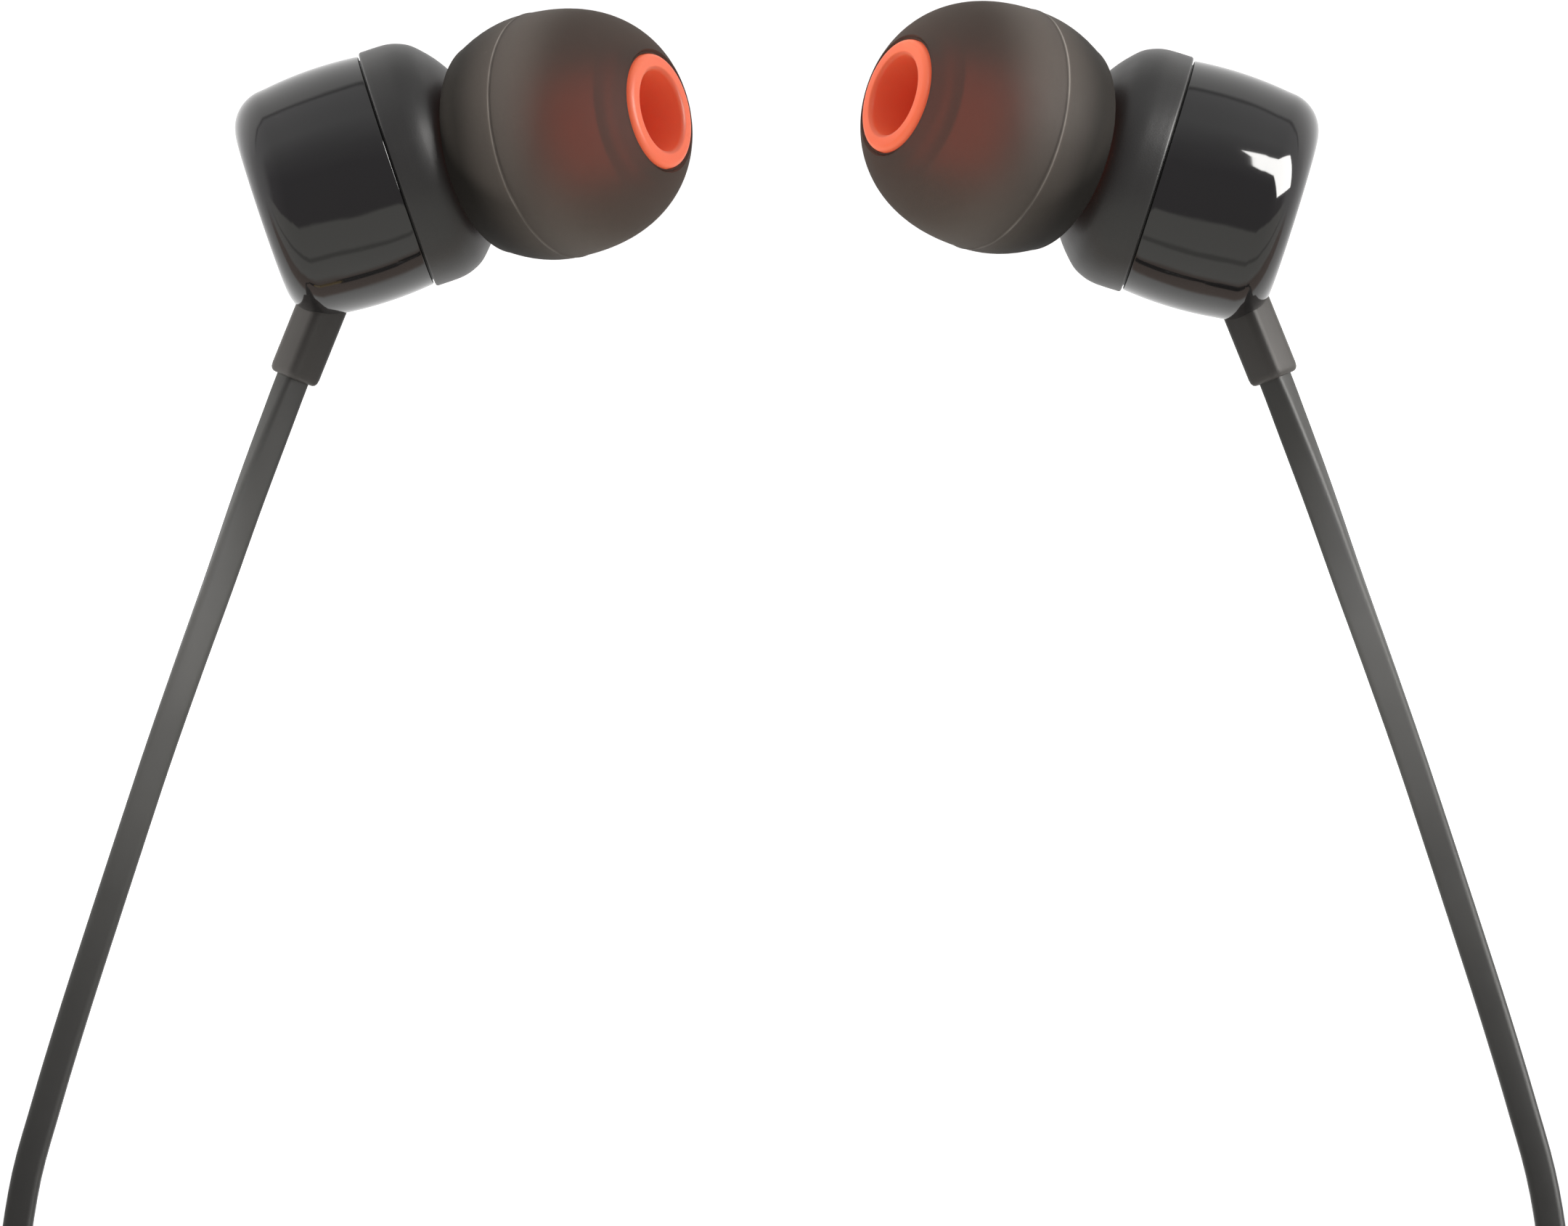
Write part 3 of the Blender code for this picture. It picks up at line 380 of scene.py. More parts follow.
def smoke_silicone():
    """Smoky silicone: a milky brown body, clearer towards the front of the tip, darkened towards its rear rim by
    painted shade, with a pale mould line that is partly painted highlight.

    The mesh's "along" attribute gives the distance along the tip's axis in millimetres.
    """
    shader = Shader("smoke_silicone")
    along = shader.node("Attribute", attribute_name="along").outputs["Fac"]
    # Painted shade: the body's colour darkens from the front towards the rear rim, where the front shell shades
    # it; the cloud adds a random tone.
    cloud = shader.between(shader.noise(0.006), -0.1, 0.1)
    painted_shading = shader.math("ADD", shader.between(along, 0.0, 1.0, 4.2, 9.4, smooth=True), cloud)
    shaded_grey = shader.mix(painted_shading, (0.016, 0.014, 0.012), (0.144, 0.123, 0.107))
    # The mould line is painted paler: partly the flash's own paler silicone, partly painted highlight where the
    # ridge catches light, stronger in random patches.
    from_line = shader.math("ABSOLUTE", shader.math("SUBTRACT", along, TIP_BACK + MOULD_LINE))
    glint_patches = shader.between(shader.noise(0.004, 3.0), 0.05, 0.65, 0.4, 0.65)
    line = shader.math("MULTIPLY", shader.between(from_line, 1.0, 0.0, 0.03, 0.09), glint_patches)
    shader.set(
        Base_Color=shader.mix(line, shaded_grey, (0.3, 0.27, 0.24)),
        Roughness=shader.between(shader.noise(0.0008), 0.58, 0.68),
        Specular_IOR_Level=0.08,
    )
    normal = shader.bump(shader.noise(0.00012, 2.0), 0.000002)
    inputs = {"Color": (0.95, 0.72, 0.62), "Roughness": 0.8, "IOR": 1.3, "Normal": normal}
    clear = shader.node("BsdfRefraction", inputs).outputs[0]
    share = shader.between(along, 0.0, 0.4, 6.0, 11.0, smooth=True)
    blended = shader.node("MixShader", {0: share, 1: shader.surface.outputs[0], 2: clear})
    shader.put(blended.outputs[0], shader.output.inputs["Surface"])
    return shader.material


def orange_silicone():
    """Orange silicone with painted light: each place gives off as much light as the mesh's marked glow says,
    standing in for light falling on the core and shining through the skirt.
    """
    shader = Shader("orange_silicone")
    painted_glow = shader.node("Attribute", attribute_name="painted_glow").outputs["Fac"]
    shader.set(
        Base_Color=shader.mix(shader.noise(0.003), (0.9, 0.155, 0.07), (0.98, 0.2, 0.09)),
        # Painted light: this emission stands in for light that falls on the core and shines through the skirt.
        Emission_Color=(1.0, 0.18, 0.085),
        Emission_Strength=shader.between(painted_glow, 0.0, 0.55),
        Roughness=shader.between(shader.noise(0.0006), 0.4, 0.52),
        Subsurface_Weight=0.5,
        Subsurface_Radius=(1.0, 0.25, 0.1),
        Subsurface_Scale=0.0012,
        Specular_IOR_Level=0.35,
    )
    shader.bump(shader.noise(0.0001), 0.0000015)
    return shader.material


def gloss_black():
    """Polished black plastic with the faint long waves of a moulding and a few fine hairline scuffs."""
    shader = Shader("gloss_black")
    scuffs = shader.math("GREATER_THAN", shader.noise(0.0008, 5.0, stretch=(1, 1, 0.2)), 0.72)
    shader.set(
        Base_Color=shader.mix(shader.noise(0.003), (0.0085, 0.008, 0.0085), (0.0115, 0.0105, 0.0105)),
        Roughness=shader.between(scuffs, 0.07, 0.16),
        Specular_IOR_Level=0.55,
        Coat_Weight=0.25,
        Coat_Roughness=0.03,
    )
    shader.bump(shader.noise(0.003, 1.0), 0.000012)
    return shader.material


def woven_strap():
    """A woven hook-and-loop strap."""
    shader = Shader("strap")
    across = shader.waves(0.0009, "X", 1.0)
    along = shader.waves(0.0009, "Y", 1.0)
    weave = shader.math("MULTIPLY", across, along)
    shader.set(
        Base_Color=shader.mix(weave, (0.012, 0.012, 0.013), (0.05, 0.05, 0.053)),
        Roughness=0.85,
        Sheen_Weight=0.4,
    )
    shader.bump(weave, 0.00008)
    shader.bump(shader.noise(0.0001, 4.0), 0.00003)
    return shader.material


def clear_film():
    shader = Shader("film")
    shader.set(
        Base_Color=shader.mix(shader.noise(0.002), (0.7, 0.66, 0.52), (0.8, 0.78, 0.66)),
        Roughness=shader.between(shader.noise(0.001), 0.12, 0.25),
        Alpha=0.55,
    )
    shader.bump(shader.noise(0.0008), 0.000004)
    return shader.material


def circuit_board():
    """Green solder resist over faint copper tracks."""
    shader = Shader("board")
    tracks = shader.math("GREATER_THAN", shader.waves(0.0012, "X", 6.0), 0.75)
    shader.set(
        Base_Color=shader.mix(tracks, (0.012, 0.09, 0.03), (0.03, 0.18, 0.06)),
        Roughness=0.35,
        Coat_Weight=0.3,
    )
    shader.bump(tracks, 0.00002)
    return shader.material


MATERIALS = {
    "gloss_black": gloss_black(),
    "matte_black": moulded("matte_black", (0.039, 0.038, 0.037), 0.4, 0.00009, 0.000004, 0.4),
    "smoke_silicone": smoke_silicone(),
    "orange_silicone": orange_silicone(),
    "soft_grey": moulded("soft_grey", (0.04, 0.0375, 0.035), 0.4, grain_depth=0.000003, specular=0.15),
    "cable": moulded("cable", (0.025, 0.0245, 0.023), 0.46, specular=0.3),
    "strap": woven_strap(),
    "steel": metal("steel", (0.6, 0.6, 0.59), 0.3),
    "gold": metal("gold", (0.95, 0.68, 0.3), 0.16),
    "magnet": metal("magnet", (0.42, 0.42, 0.43), 0.28),
    "copper": metal("copper", (0.83, 0.4, 0.2), 0.3, wound=True),
    "film": clear_film(),
    "board": circuit_board(),
    "natural_plastic": moulded("natural_plastic", (0.6, 0.57, 0.5), 0.35),
}


# --- mesh building


def finished(name, mesh, slot, *nodes, body=ROOT, angle=35):
    """A piece in its slot's finish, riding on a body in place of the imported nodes.

    Its faces are smooth up to the angle in degrees, or shaded already where that is None.
    """
    if angle is not None:
        mesh.shade_smooth()
        mesh.set_sharp_from_angle(angle=math.radians(angle))
    mesh.materials.clear()
    mesh.materials.append(MATERIALS[slot])
    piece = bpy.data.objects.new(name, mesh)
    bpy.context.scene.collection.objects.link(piece)
    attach(piece, body)
    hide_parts(*nodes)
    return piece


def ease(share):
    return share * share * (3 - 2 * share)


def smooth_curve(points, spacing=None, steps=12):
    """The smooth curve through the points, sampled in steps or evenly."""
    given = np.array(points, float)
    ends = np.vstack([2 * given[0] - given[1], given, 2 * given[-1] - given[-2]])
    fine = [given[0]]
    for a, b, c, d in zip(ends, ends[1:], ends[2:], ends[3:]):
        for t in np.linspace(0, 1, steps + 1)[1:]:
            first = (c - a) * t
            second = (2 * a - 5 * b + 4 * c - d) * t**2
            third = (3 * b - a - 3 * c + d) * t**3
            fine.append((2 * b + first + second + third) / 2)
    fine = np.array(fine)
    if spacing is None:
        return fine
    along = np.concatenate([[0], np.cumsum(np.linalg.norm(np.diff(fine, axis=0), axis=1))])
    even = np.linspace(0, along[-1], max(2, round(along[-1] / spacing) + 1))
    return np.column_stack([np.interp(even, along, fine[:, i]) for i in range(fine.shape[1])])


def rounded(corners, steps=5):
    """An outline whose corners, given as (x, y, radius), are rounded. A radius of 0 stays sharp."""
    outline = []
    count = len(corners)
    for i, (x, y, radius) in enumerate(corners):
        corner = Vector((x, y))
        if not radius:
            outline.append((x, y))
            continue
        before = (Vector(corners[i - 1][:2]) - corner).normalized()
        after = (Vector(corners[(i + 1) % count][:2]) - corner).normalized()
        half = before.angle(after) / 2
        inset = radius / math.tan(half)
        centre = corner + (before + after).normalized() * radius / math.sin(half)
        start = corner + before * inset - centre
        end = corner + after * inset - centre
        turn = start.angle_signed(end)
        for step in range(steps + 1):
            outline.append(tuple(centre + Matrix.Rotation(-turn * step / steps, 2) @ start))
    return outline


def arc(centre, radius, start, end, steps):
    angles = np.radians(np.linspace(start, end, steps + 1))
    return [(centre[0] + radius * math.cos(a), centre[1] + radius * math.sin(a)) for a in angles]


def closed_mesh(cage, name, placement=None):
    """The cage as a mesh, brought from millimetres to its placement where it has one."""
    bmesh.ops.recalc_face_normals(cage, faces=cage.faces)
    mesh = bpy.data.meshes.new(name)
    cage.to_mesh(mesh)
    cage.free()
    if placement:
        mesh.transform(placement @ Matrix.Scale(MM, 4))
    return mesh


def close_tube(cage, rings):
    """Joins rings of vertices into a tube with closed ends."""
    count = len(rings[0])
    for first, second in zip(rings, rings[1:]):
        for i in range(count):
            j = (i + 1) % count
            cage.faces.new((first[i], first[j], second[j], second[i]))
    cage.faces.new(rings[0])
    cage.faces.new(rings[-1])


def turned_mesh(name, outline, placement, segments=96):
    """A mesh turned from a closed outline of (along, radius) in millimetres about the placement's X axis."""
    cage = bmesh.new()
    rings = []
    for x, radius in outline:
        if radius < 1e-6:
            rings.append([cage.verts.new((x, 0, 0))])
            continue
        angles = [math.tau * i / segments for i in range(segments)]
        rings.append([cage.verts.new((x, radius * math.cos(a), radius * math.sin(a))) for a in angles])
    pairs = list(zip(rings, rings[1:]))
    if len(rings[0]) > 1 or len(rings[-1]) > 1:
        pairs.append((rings[-1], rings[0]))
    for first, second in pairs:
        for i in range(segments):
            j = (i + 1) % segments
            if len(first) == 1 and len(second) == 1:
                break
            if len(first) == 1:
                cage.faces.new((first[0], second[j], second[i]))
            elif len(second) == 1:
                cage.faces.new((first[i], first[j], second[0]))
            else:
                cage.faces.new((first[i], first[j], second[j], second[i]))
    return closed_mesh(cage, name, placement)


def on_axis(mesh, placement):
    """Each vertex's distance along the placement's X axis and out from it, in millimetres."""
    back = placement.inverted()
    near = [back @ v.co / MM for v in mesh.vertices]
    return [(point.x, math.hypot(point.y, point.z)) for point in near]


def mark(mesh, name, values):
    """Gives each vertex a value that a material can read."""
    mesh.attributes.new(name, "FLOAT", "POINT").data.foreach_set("value", values)


def swept_mesh(name, points, sections, ups):
    """A mesh swept along points: each has its section, as (aside, up) points, and the direction of its up."""
    points = [Vector(p) for p in points]
    cage = bmesh.new()
    rings = []
    for i, point in enumerate(points):
        ahead = (points[min(i + 1, len(points) - 1)] - points[max(i - 1, 0)]).normalized()
        aside = ahead.cross(ups[i]).normalized()
        above = aside.cross(ahead)
        rings.append([cage.verts.new(point + aside * s + above * u) for s, u in sections[i]])
    close_tube(cage, rings)
    return closed_mesh(cage, name)


def rounded_rectangle(width, height, corner, steps=4):
    corners = [(x * width / 2, y * height / 2, corner) for x, y in ((1, 1), (-1, 1), (-1, -1), (1, -1))]
    return rounded(corners, steps)


def boolean(mesh, other, operation):
    """The mesh joined with, or cut by, another."""
    first = bpy.data.objects.new("working", mesh)
    second = bpy.data.objects.new("tool", other)
    bpy.context.scene.collection.objects.link(first)
    bpy.context.scene.collection.objects.link(second)
    modifier = first.modifiers.new("Boolean", "BOOLEAN")
    modifier.operation = operation
    modifier.solver = "EXACT"
    modifier.object = second
    bpy.context.view_layer.update()
    made = bpy.data.meshes.new_from_object(first.evaluated_get(bpy.context.evaluated_depsgraph_get()))
    bpy.data.objects.remove(first)
    bpy.data.objects.remove(second)
    return made


def cut(mesh, *tools):
    for tool in tools:
        mesh = boolean(mesh, tool, "DIFFERENCE")
    return mesh


def shaded_like(mesh, *sources):
    """Gives a cut mesh the smooth shading of its sources, so that a cut leaves no mark in the gloss."""
    trees = []
    for source in sources:
        source.shade_smooth()
        source.set_sharp_from_angle(angle=math.radians(35))
        tree = BVHTree.FromPolygons([v.co for v in source.vertices], [p.vertices for p in source.polygons])
        trees.append((source, tree))
    normals = []
    for polygon in mesh.polygons:
        for index in polygon.vertices:
            normals.append(source_normal(mesh.vertices[index].co, polygon, trees))
    mesh.shade_smooth()
    mesh.normals_split_custom_set(normals)
    return mesh


def source_normal(corner, polygon, trees):
    """The smooth normal at a polygon's corner, from the source face that the polygon lies on."""
    point = corner + (polygon.center - corner).normalized() * 2e-6
    for source, tree in trees:
        where, _, index, away = tree.find_nearest(point)
        face = source.polygons[index]
        agree = face.normal.dot(polygon.normal)
        if away < 4e-6 and abs(agree) > 0.97:
            weights = poly_3d_calc([source.vertices[i].co for i in face.vertices], where)
            blend = Vector((0, 0, 0))
            for loop, weight in zip(face.loop_indices, weights):
                blend += source.corner_normals[loop].vector * weight
            return blend.normalized() * (1 if agree > 0 else -1)
    return polygon.normal.copy()


def aimed(origin, ahead, up=UP):
    """A placement with its X axis ahead and its Z axis as near to up as it can be."""
    ahead = ahead.normalized()
    aside = up.cross(ahead).normalized()
    above = ahead.cross(aside)
    matrix = Matrix((ahead, aside, above)).transposed().to_4x4()
    matrix.translation = origin
    return matrix


def middle(node):
    low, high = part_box(node)
    return (low + high) / 2


def reach(node, direction):
    """How far along a direction the node's nearest and furthest points are, in metres."""
    along = [v.co.dot(direction) for v in NODES[node].data.vertices]
    return min(along), max(along)


def earbud_placement(side):
    """The housing's axis, with its origin on the seam, found from the magnet behind it."""
    ahead = JOINT_AXES[f"{side}_cone_travel"]
    return aimed(middle(f"{side}_magnet") + ahead * MAGNET_BACK * MM, ahead)


def nozzle_placement(side):
    """The nozzle's axis, with its origin inside the dome, found from the screen in its mouth."""
    ahead = JOINT_AXES[f"{side}_tip_pull"]
    return aimed(middle(f"{side}_nozzle_screen") - ahead * SCREEN_AT * MM, ahead)


def tip_placement(side):
    """The ear tip's axis, with its origin behind the core's rear end."""
    ahead = JOINT_AXES[f"{side}_tip_pull"]
    nozzle = nozzle_placement(side).translation
    back = reach(f"{side}_tip_core", ahead)[0] - nozzle.dot(ahead)
    return aimed(nozzle + ahead * (back - CORE_BACK * MM), ahead)


def relief_placement(side):
    """The strain relief's outer end, with the X axis along the cable."""
    ahead = Vector((SIDES[side] * math.cos(RELIEF_LEAN), -math.sin(RELIEF_LEAN), 0))
    end = reach(f"{side}_strain_relief", ahead)[1]
    face = [v.co for v in NODES[f"{side}_strain_relief"].data.vertices if v.co.dot(ahead) > end - 0.00001]
    placement = aimed(sum(face, Vector((0, 0, 0))) / len(face), ahead)
    return placement @ Matrix.Rotation(-SIDES[side] * RELIEF_ROLL, 4, "X")


# --- camera, light and floor


def make_camera():
    data = bpy.data.cameras.new("camera")
    data.lens = CAMERA_LENS
    data.clip_start = 0.01
    data.clip_end = 10
    camera = bpy.data.objects.new("camera", data)
    camera.location = LAYOUT_CENTRE + UP * CAMERA_HEIGHT
    bpy.context.scene.collection.objects.link(camera)
    bpy.context.scene.camera = camera


def panel(name, corners, **look):
    """A flat panel with a look of its own, which is not part of the object."""
    mesh = bpy.data.meshes.new(name)
    mesh.from_pydata(corners, [], [tuple(range(len(corners)))])
    shader = Shader(name)
    shader.set(**look)
    mesh.materials.append(shader.material)
    made = bpy.data.objects.new(name, mesh)
    bpy.context.scene.collection.objects.link(made)
    return made


def make_floor():
    """A plain white light table."""
    corners = [(x * FLOOR_HALF, y * FLOOR_HALF, 0) for x, y in ((-1, -1), (1, -1), (1, 1), (-1, 1))]
    floor = panel(
        "floor",
        corners,
        Base_Color=(0.5, 0.5, 0.5),
        Roughness=1.0,
        Specular_IOR_Level=0.0,
        Emission_Color=(1.0, 1.0, 0.995),
        Emission_Strength=0.86,
    )
    floor.visible_glossy = False


# What a studio tent shows round the table: the angle in degrees from straight up towards -Y, the brightness
# and the tint. Its side walls begin at TENT_EDGE of the way out to +X or -X, and noise bends its edges.
PLAIN = (1.0, 1.0, 1.0)
IVORY = (1.0, 1.0, 0.98)
CREAM = (1.0, 0.99, 0.93)
TAN = (1.0, 0.8, 0.7)
TENT = (
    (-180, 1.0, PLAIN),
    (-104, 0.95, IVORY),
    (-99, 0.3, PLAIN),
    (-95, 0.75, PLAIN),
    (-60, 0.8, PLAIN),
    (-34, 0.5, (1.0, 0.98, 1.0)),
    (-15, 0.38, (1.0, 0.96, 1.0)),
    (29, 0.36, (1.0, 0.95, 0.97)),
    (32, 0.9, CREAM),
    (61, 0.9, CREAM),
    (63, 0.55, CREAM),
    (66, 0.55, CREAM),
    (68, 0.9, CREAM),
    (88, 0.85, CREAM),
    (93, 0.55, TAN),
    (112, 0.5, TAN),
    (117, 0.9, IVORY),
    (180, 1.0, PLAIN),
)
TENT_SIDES = 0.8
TENT_EDGE = 0.86
TENT_WAVE = 3.5
TENT_WOBBLE = 0.16


def make_tent():
    """The soft light of a studio tent, with a darker opening overhead and edges that wander a little."""
    world = bpy.data.worlds.new("tent")
    bpy.context.scene.world = world
    nodes = Nodes(world)
    direction = nodes.node("TexCoord").outputs["Generated"]
    split = nodes.node("SeparateXYZ", {0: direction})
    angle = nodes.math("ARCTAN2", nodes.math("MULTIPLY", split.outputs["Y"], -1.0), split.outputs["Z"])
    bent = nodes.math("MULTIPLY_ADD", nodes.noise(1 / TENT_WAVE, 3.0, direction), TENT_WOBBLE, angle)
    offset = TENT_WOBBLE / 2
    ramp = nodes.node("ValToRGB", {0: nodes.between(bent, 0.0, 1.0, offset - math.pi, offset + math.pi)})
    elements = ramp.color_ramp.elements
    while len(elements) < len(TENT):
        elements.new(0.5)
    brightest = max(level for _, level, _ in TENT)
    for element, (degrees, level, tint) in zip(elements, TENT):
        element.position = (degrees + 180) / 360
        element.color = (*(level / brightest * c for c in tint), 1.0)
    aside = nodes.math("ABSOLUTE", split.outputs["X"])
    share = nodes.between(aside, 0.0, 1.0, TENT_EDGE, 1.0, smooth=True)
    walls = (TENT_SIDES / brightest,) * 3
    background = nodes.tree.nodes["Background"]
    nodes.put(nodes.mix(share, ramp.outputs[0], walls), background.inputs["Color"])
    nodes.put(brightest, background.inputs["Strength"])


# A softbox to the right, as the azimuth and elevation of its corners in degrees, seen from the earphones.
SOFTBOX = ((60, 43), (32, 16), (2, 8), (0, 42), (50, 52), (55, 45))
SOFTBOX_DISTANCE = 0.5
SOFTBOX_STRENGTH = 18.0


def make_softbox():
    """The bright panel that the gloss shows as a crisp patch."""
    corners = []
    for azimuth, elevation in SOFTBOX:
        a, e = math.radians(azimuth), math.radians(elevation)
        direction = Vector((math.cos(e) * math.cos(a), math.cos(e) * math.sin(a), math.sin(e)))
        corners.append(LAYOUT_CENTRE + direction * SOFTBOX_DISTANCE)
    look = {"Base_Color": (0, 0, 0), "Emission_Color": (1.0, 0.99, 0.97)}
    softbox = panel("softbox", corners, Emission_Strength=SOFTBOX_STRENGTH, **look)
    softbox.visible_diffuse = False
    softbox.visible_transmission = False


# Two lights on each side: a low strip beyond the earbud for the outer faces of the sleeve and cable, and a
# small light over the cable that fades along it. They shine from start to end, both in metres from the
# layout's middle, and their power is in watts.
SideLight = namedtuple("SideLight", "start end size power")
SIDE_LIGHTS = {
    "strip": SideLight((0.07, 0.03, 0.0025), (0.0245, 0.0118, 0.006), (0.02, 0.003), 0.06),
    "cable_light": SideLight((0.031, -0.003, 0.017), (0.036, -0.005, 0.001), (0.02, 0.012), 0.009),
}


def make_side_lights():
    for side, sign in SIDES.items():
        for name, given in SIDE_LIGHTS.items():
            data = bpy.data.lights.new(f"{side}_{name}", "AREA")
            data.shape = "RECTANGLE"
            data.size, data.size_y = given.size
            data.energy = given.power
            light = bpy.data.objects.new(f"{side}_{name}", data)
            start, end = (LAYOUT_MIDDLE + Vector((sign * x, y, z)) for x, y, z in (given.start, given.end))
            light.location = start
            light.rotation_euler = (start - end).to_track_quat("Z", "Y").to_euler()
            light.visible_camera = False
            light.visible_glossy = False
            light.visible_transmission = False
            bpy.context.scene.collection.objects.link(light)


# --- cable


def coil_turns(coil):
    """The cable's route through a coil: each layer spirals across it, in and then out again."""
    turns = abs(coil.turns)
    per_layer = turns / coil.layers
    half_band = TURN_PITCH * per_layer / 2
    route = []
    for step in range(int(TURN_STEPS * turns) + 1):
        turned_by = step / TURN_STEPS
        layer = min(int(turned_by / per_layer), coil.layers - 1)
        share = turned_by / per_layer - layer
        inward = share if layer % 2 == 0 else 1 - share
        radius = coil.radius + half_band * (1 - 2 * inward)
        angle = math.radians(coil.entry) + math.copysign(math.tau * turned_by, coil.turns)
        height = COIL_FLOOR + LAYER_PITCH * (layer + climbed(share, layer, coil.layers))
        x, y = coil.centre
        route.append((x + radius * math.cos(angle), y + radius * math.sin(angle), height))
    return route


def climbed(share, layer, layers):
    """How far the cable has climbed to the next layer: it climbs over the last tenth of its own."""
    if layer == layers - 1 or share < CLIMB_START:
        return 0.0
    return ease((share - CLIMB_START) / (1 - CLIMB_START))


def world_route(points):
    """Even points along the smooth curve through a route, with the cable nowhere below the table."""
    route = smooth_curve(np.array(points, float) + np.array(LAYOUT_MIDDLE), CORD_STEP)
    route[:, 2] = np.maximum(route[:, 2], CORD_HEIGHT / 2)
    return route


def make_cable(name, start, route, end, nodes, held_roll=0.0):
    """A free cord of flat cable between two entries, wide face up unless a relief rolls its start."""
    points = world_route([*inside_and_out(start), *route, *reversed(inside_and_out(end))])
    steps = np.diff(points, axis=0)
    away = np.concatenate([[0], np.cumsum(np.linalg.norm(steps, axis=1))])
    ups = []
    for distance, onward in zip(away, np.vstack([steps, steps[-1]])):
        roll = held_roll * math.exp(-distance / HELD_LENGTH)
        ups.append(Matrix.Rotation(roll, 3, Vector(onward)) @ UP)
    section = rounded_rectangle(CORD_WIDTH, CORD_HEIGHT, CORD_CORNER)
    mesh = swept_mesh(name, points, [section] * len(points), ups)
    finished(name, mesh, "cable", *nodes, angle=60)


def mirrored(points):
    return [(-x, y, z) for x, y, z in points]


def socket(entry):
    """What a piece is cut with to take the cable: the entry's X axis points out of the piece."""
    size = (CORD_WIDTH + 2 * CORD_PLAY, CORD_HEIGHT + 2 * CORD_PLAY)
    section = rounded_rectangle(*size, CORD_CORNER + CORD_PLAY)
    ends = [entry @ Vector((x, 0, 0)) for x in (-1.2 * SOCKET_DEPTH, 0.5 * SOCKET_DEPTH)]
    return swept_mesh("socket", ends, [section] * 2, [entry.to_3x3() @ UP] * 2)


def entry_point(node, face, aside=0.0, height=None):
    """Where a cable enters a node's face, such as "+y": a placement whose X axis points out of the node."""
    low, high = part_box(node)
    point = middle(node)
    axis = "xyz".index(face[1])
    sign = 1 if face[0] == "+" else -1
    point[axis] = high[axis] if sign > 0 else low[axis]
    point[1 - axis] += aside
    if height is not None:
        point.z = height
    outward = Vector((0, 0, 0))
    outward[axis] = sign
    return aimed(point, outward)


def inside_and_out(entry):
    """Two points of a cable at an entry, inside the piece and just outside it, as the routes give theirs."""
    return [entry @ Vector((x, 0, 0)) - LAYOUT_MIDDLE for x in (-SOCKET_DEPTH, 0.4 * SOCKET_DEPTH)]


def make_cables(entries):
    """Every cable, with its coil, between the pieces that it runs into."""
    make_cable(
        "left_cable",
        entries["left"],
        [*mirrored(SIDE_RUN), *LEFT_TO_COIL, *coil_turns(COILS["left"]), *LEFT_TO_SPLIT],
        entries["split_left"],
        ["left_cord_run", "left_cord_coil", "left_cord_end"],
        held_roll=-HELD_ROLL,
    )
    make_cable(
        "right_cable_upper",
        entries["right"],
        [*SIDE_RUN, *RIGHT_TO_REMOTE],
        entries["remote_top"],
        ["right_cord_run"],
        held_roll=HELD_ROLL,
    )
    make_cable(
        "right_cable_lower",
        entries["remote_bottom"],
        [*REMOTE_TO_COIL, *coil_turns(COILS["right"]), *RIGHT_TO_SPLIT],
        entries["split_right"],
        ["right_cord_middle", "right_cord_coil", "right_cord_end"],
    )
    make_cable(
        "main_cable",
        entries["split_front"],
        [*SPLIT_TO_COIL, *coil_turns(COILS["main"]), *COIL_TO_PLUG],
        entries["plug"],
        ["main_cord_start", "main_cord_coil", "main_cord_end"],
    )


def held_turns(coil, outward):
    """How near to and far from a coil's centre its turns lie where its tie holds them, and their top."""
    turns = [Vector(point) - Vector((*coil.centre, 0)) for point in coil_turns(coil)]
    held = [turn for turn in turns if turn.xy.normalized().dot(outward.xy) > TIE_REACH]
    radii = [turn.xy.length for turn in held]
    top = max(turn.z for turn in held) + CORD_HEIGHT / 2
    return min(radii) - CORD_WIDTH / 2, max(radii) + CORD_WIDTH / 2, top


def make_tie(name):
    """A hook-and-loop strap round a coil: once round it, and on over itself."""
    coil = COILS[name]
    angle = math.radians(coil.tie)
    outward = Vector((math.cos(angle), math.sin(angle), 0))
    around = UP.cross(outward)
    near, far, held_top = held_turns(coil, outward)
    top = held_top + TIE_CLEARANCE + TIE_THICKNESS
    core = Vector((*coil.centre, 0)) + LAYOUT_MIDDLE + outward * (far + near) / 2 + UP * top / 2
    width = far - near + 2 * TIE_CLEARANCE + TIE_THICKNESS
    outline = rounded_rectangle(width, top - TIE_THICKNESS, TIE_CORNER, 8)
    outline = smooth_curve([*outline, outline[0]], TIE_STEP)
    start = len(outline) // 12
    loop = [*outline[start:], *outline[1:start], *outline[start : start + len(outline) // 4]]
    overlap = len(outline) - TIE_RISE_STEPS - 1
    path = []
    for i, (x, y) in enumerate(loop):
        flat = Vector((x, y))
        risen = min(1.0, max(0.0, (i - overlap) / TIE_RISE_STEPS))
        flat += flat.normalized() * TIE_LIFT * TIE_THICKNESS * risen
        path.append(core + outward * flat.x + UP * flat.y)
    ups = []
    for i in range(len(path)):
        ahead = path[min(i + 1, len(path) - 1)] - path[max(i - 1, 0)]
        ups.append(ahead.cross(around).normalized())
    strap = rounded_rectangle(TIE_WIDTH, TIE_THICKNESS, 0.4 * TIE_THICKNESS, 3)
    mesh = swept_mesh("tie", path, [strap] * len(path), ups)
    return finished(f"{name}_tie", mesh, "strap", f"{name}_coil_tie", angle=60)


# --- housing


def cover_radius(x):
    return COVER_RADIUS - COVER_BARREL * (x - COVER_WIDEST) ** 2


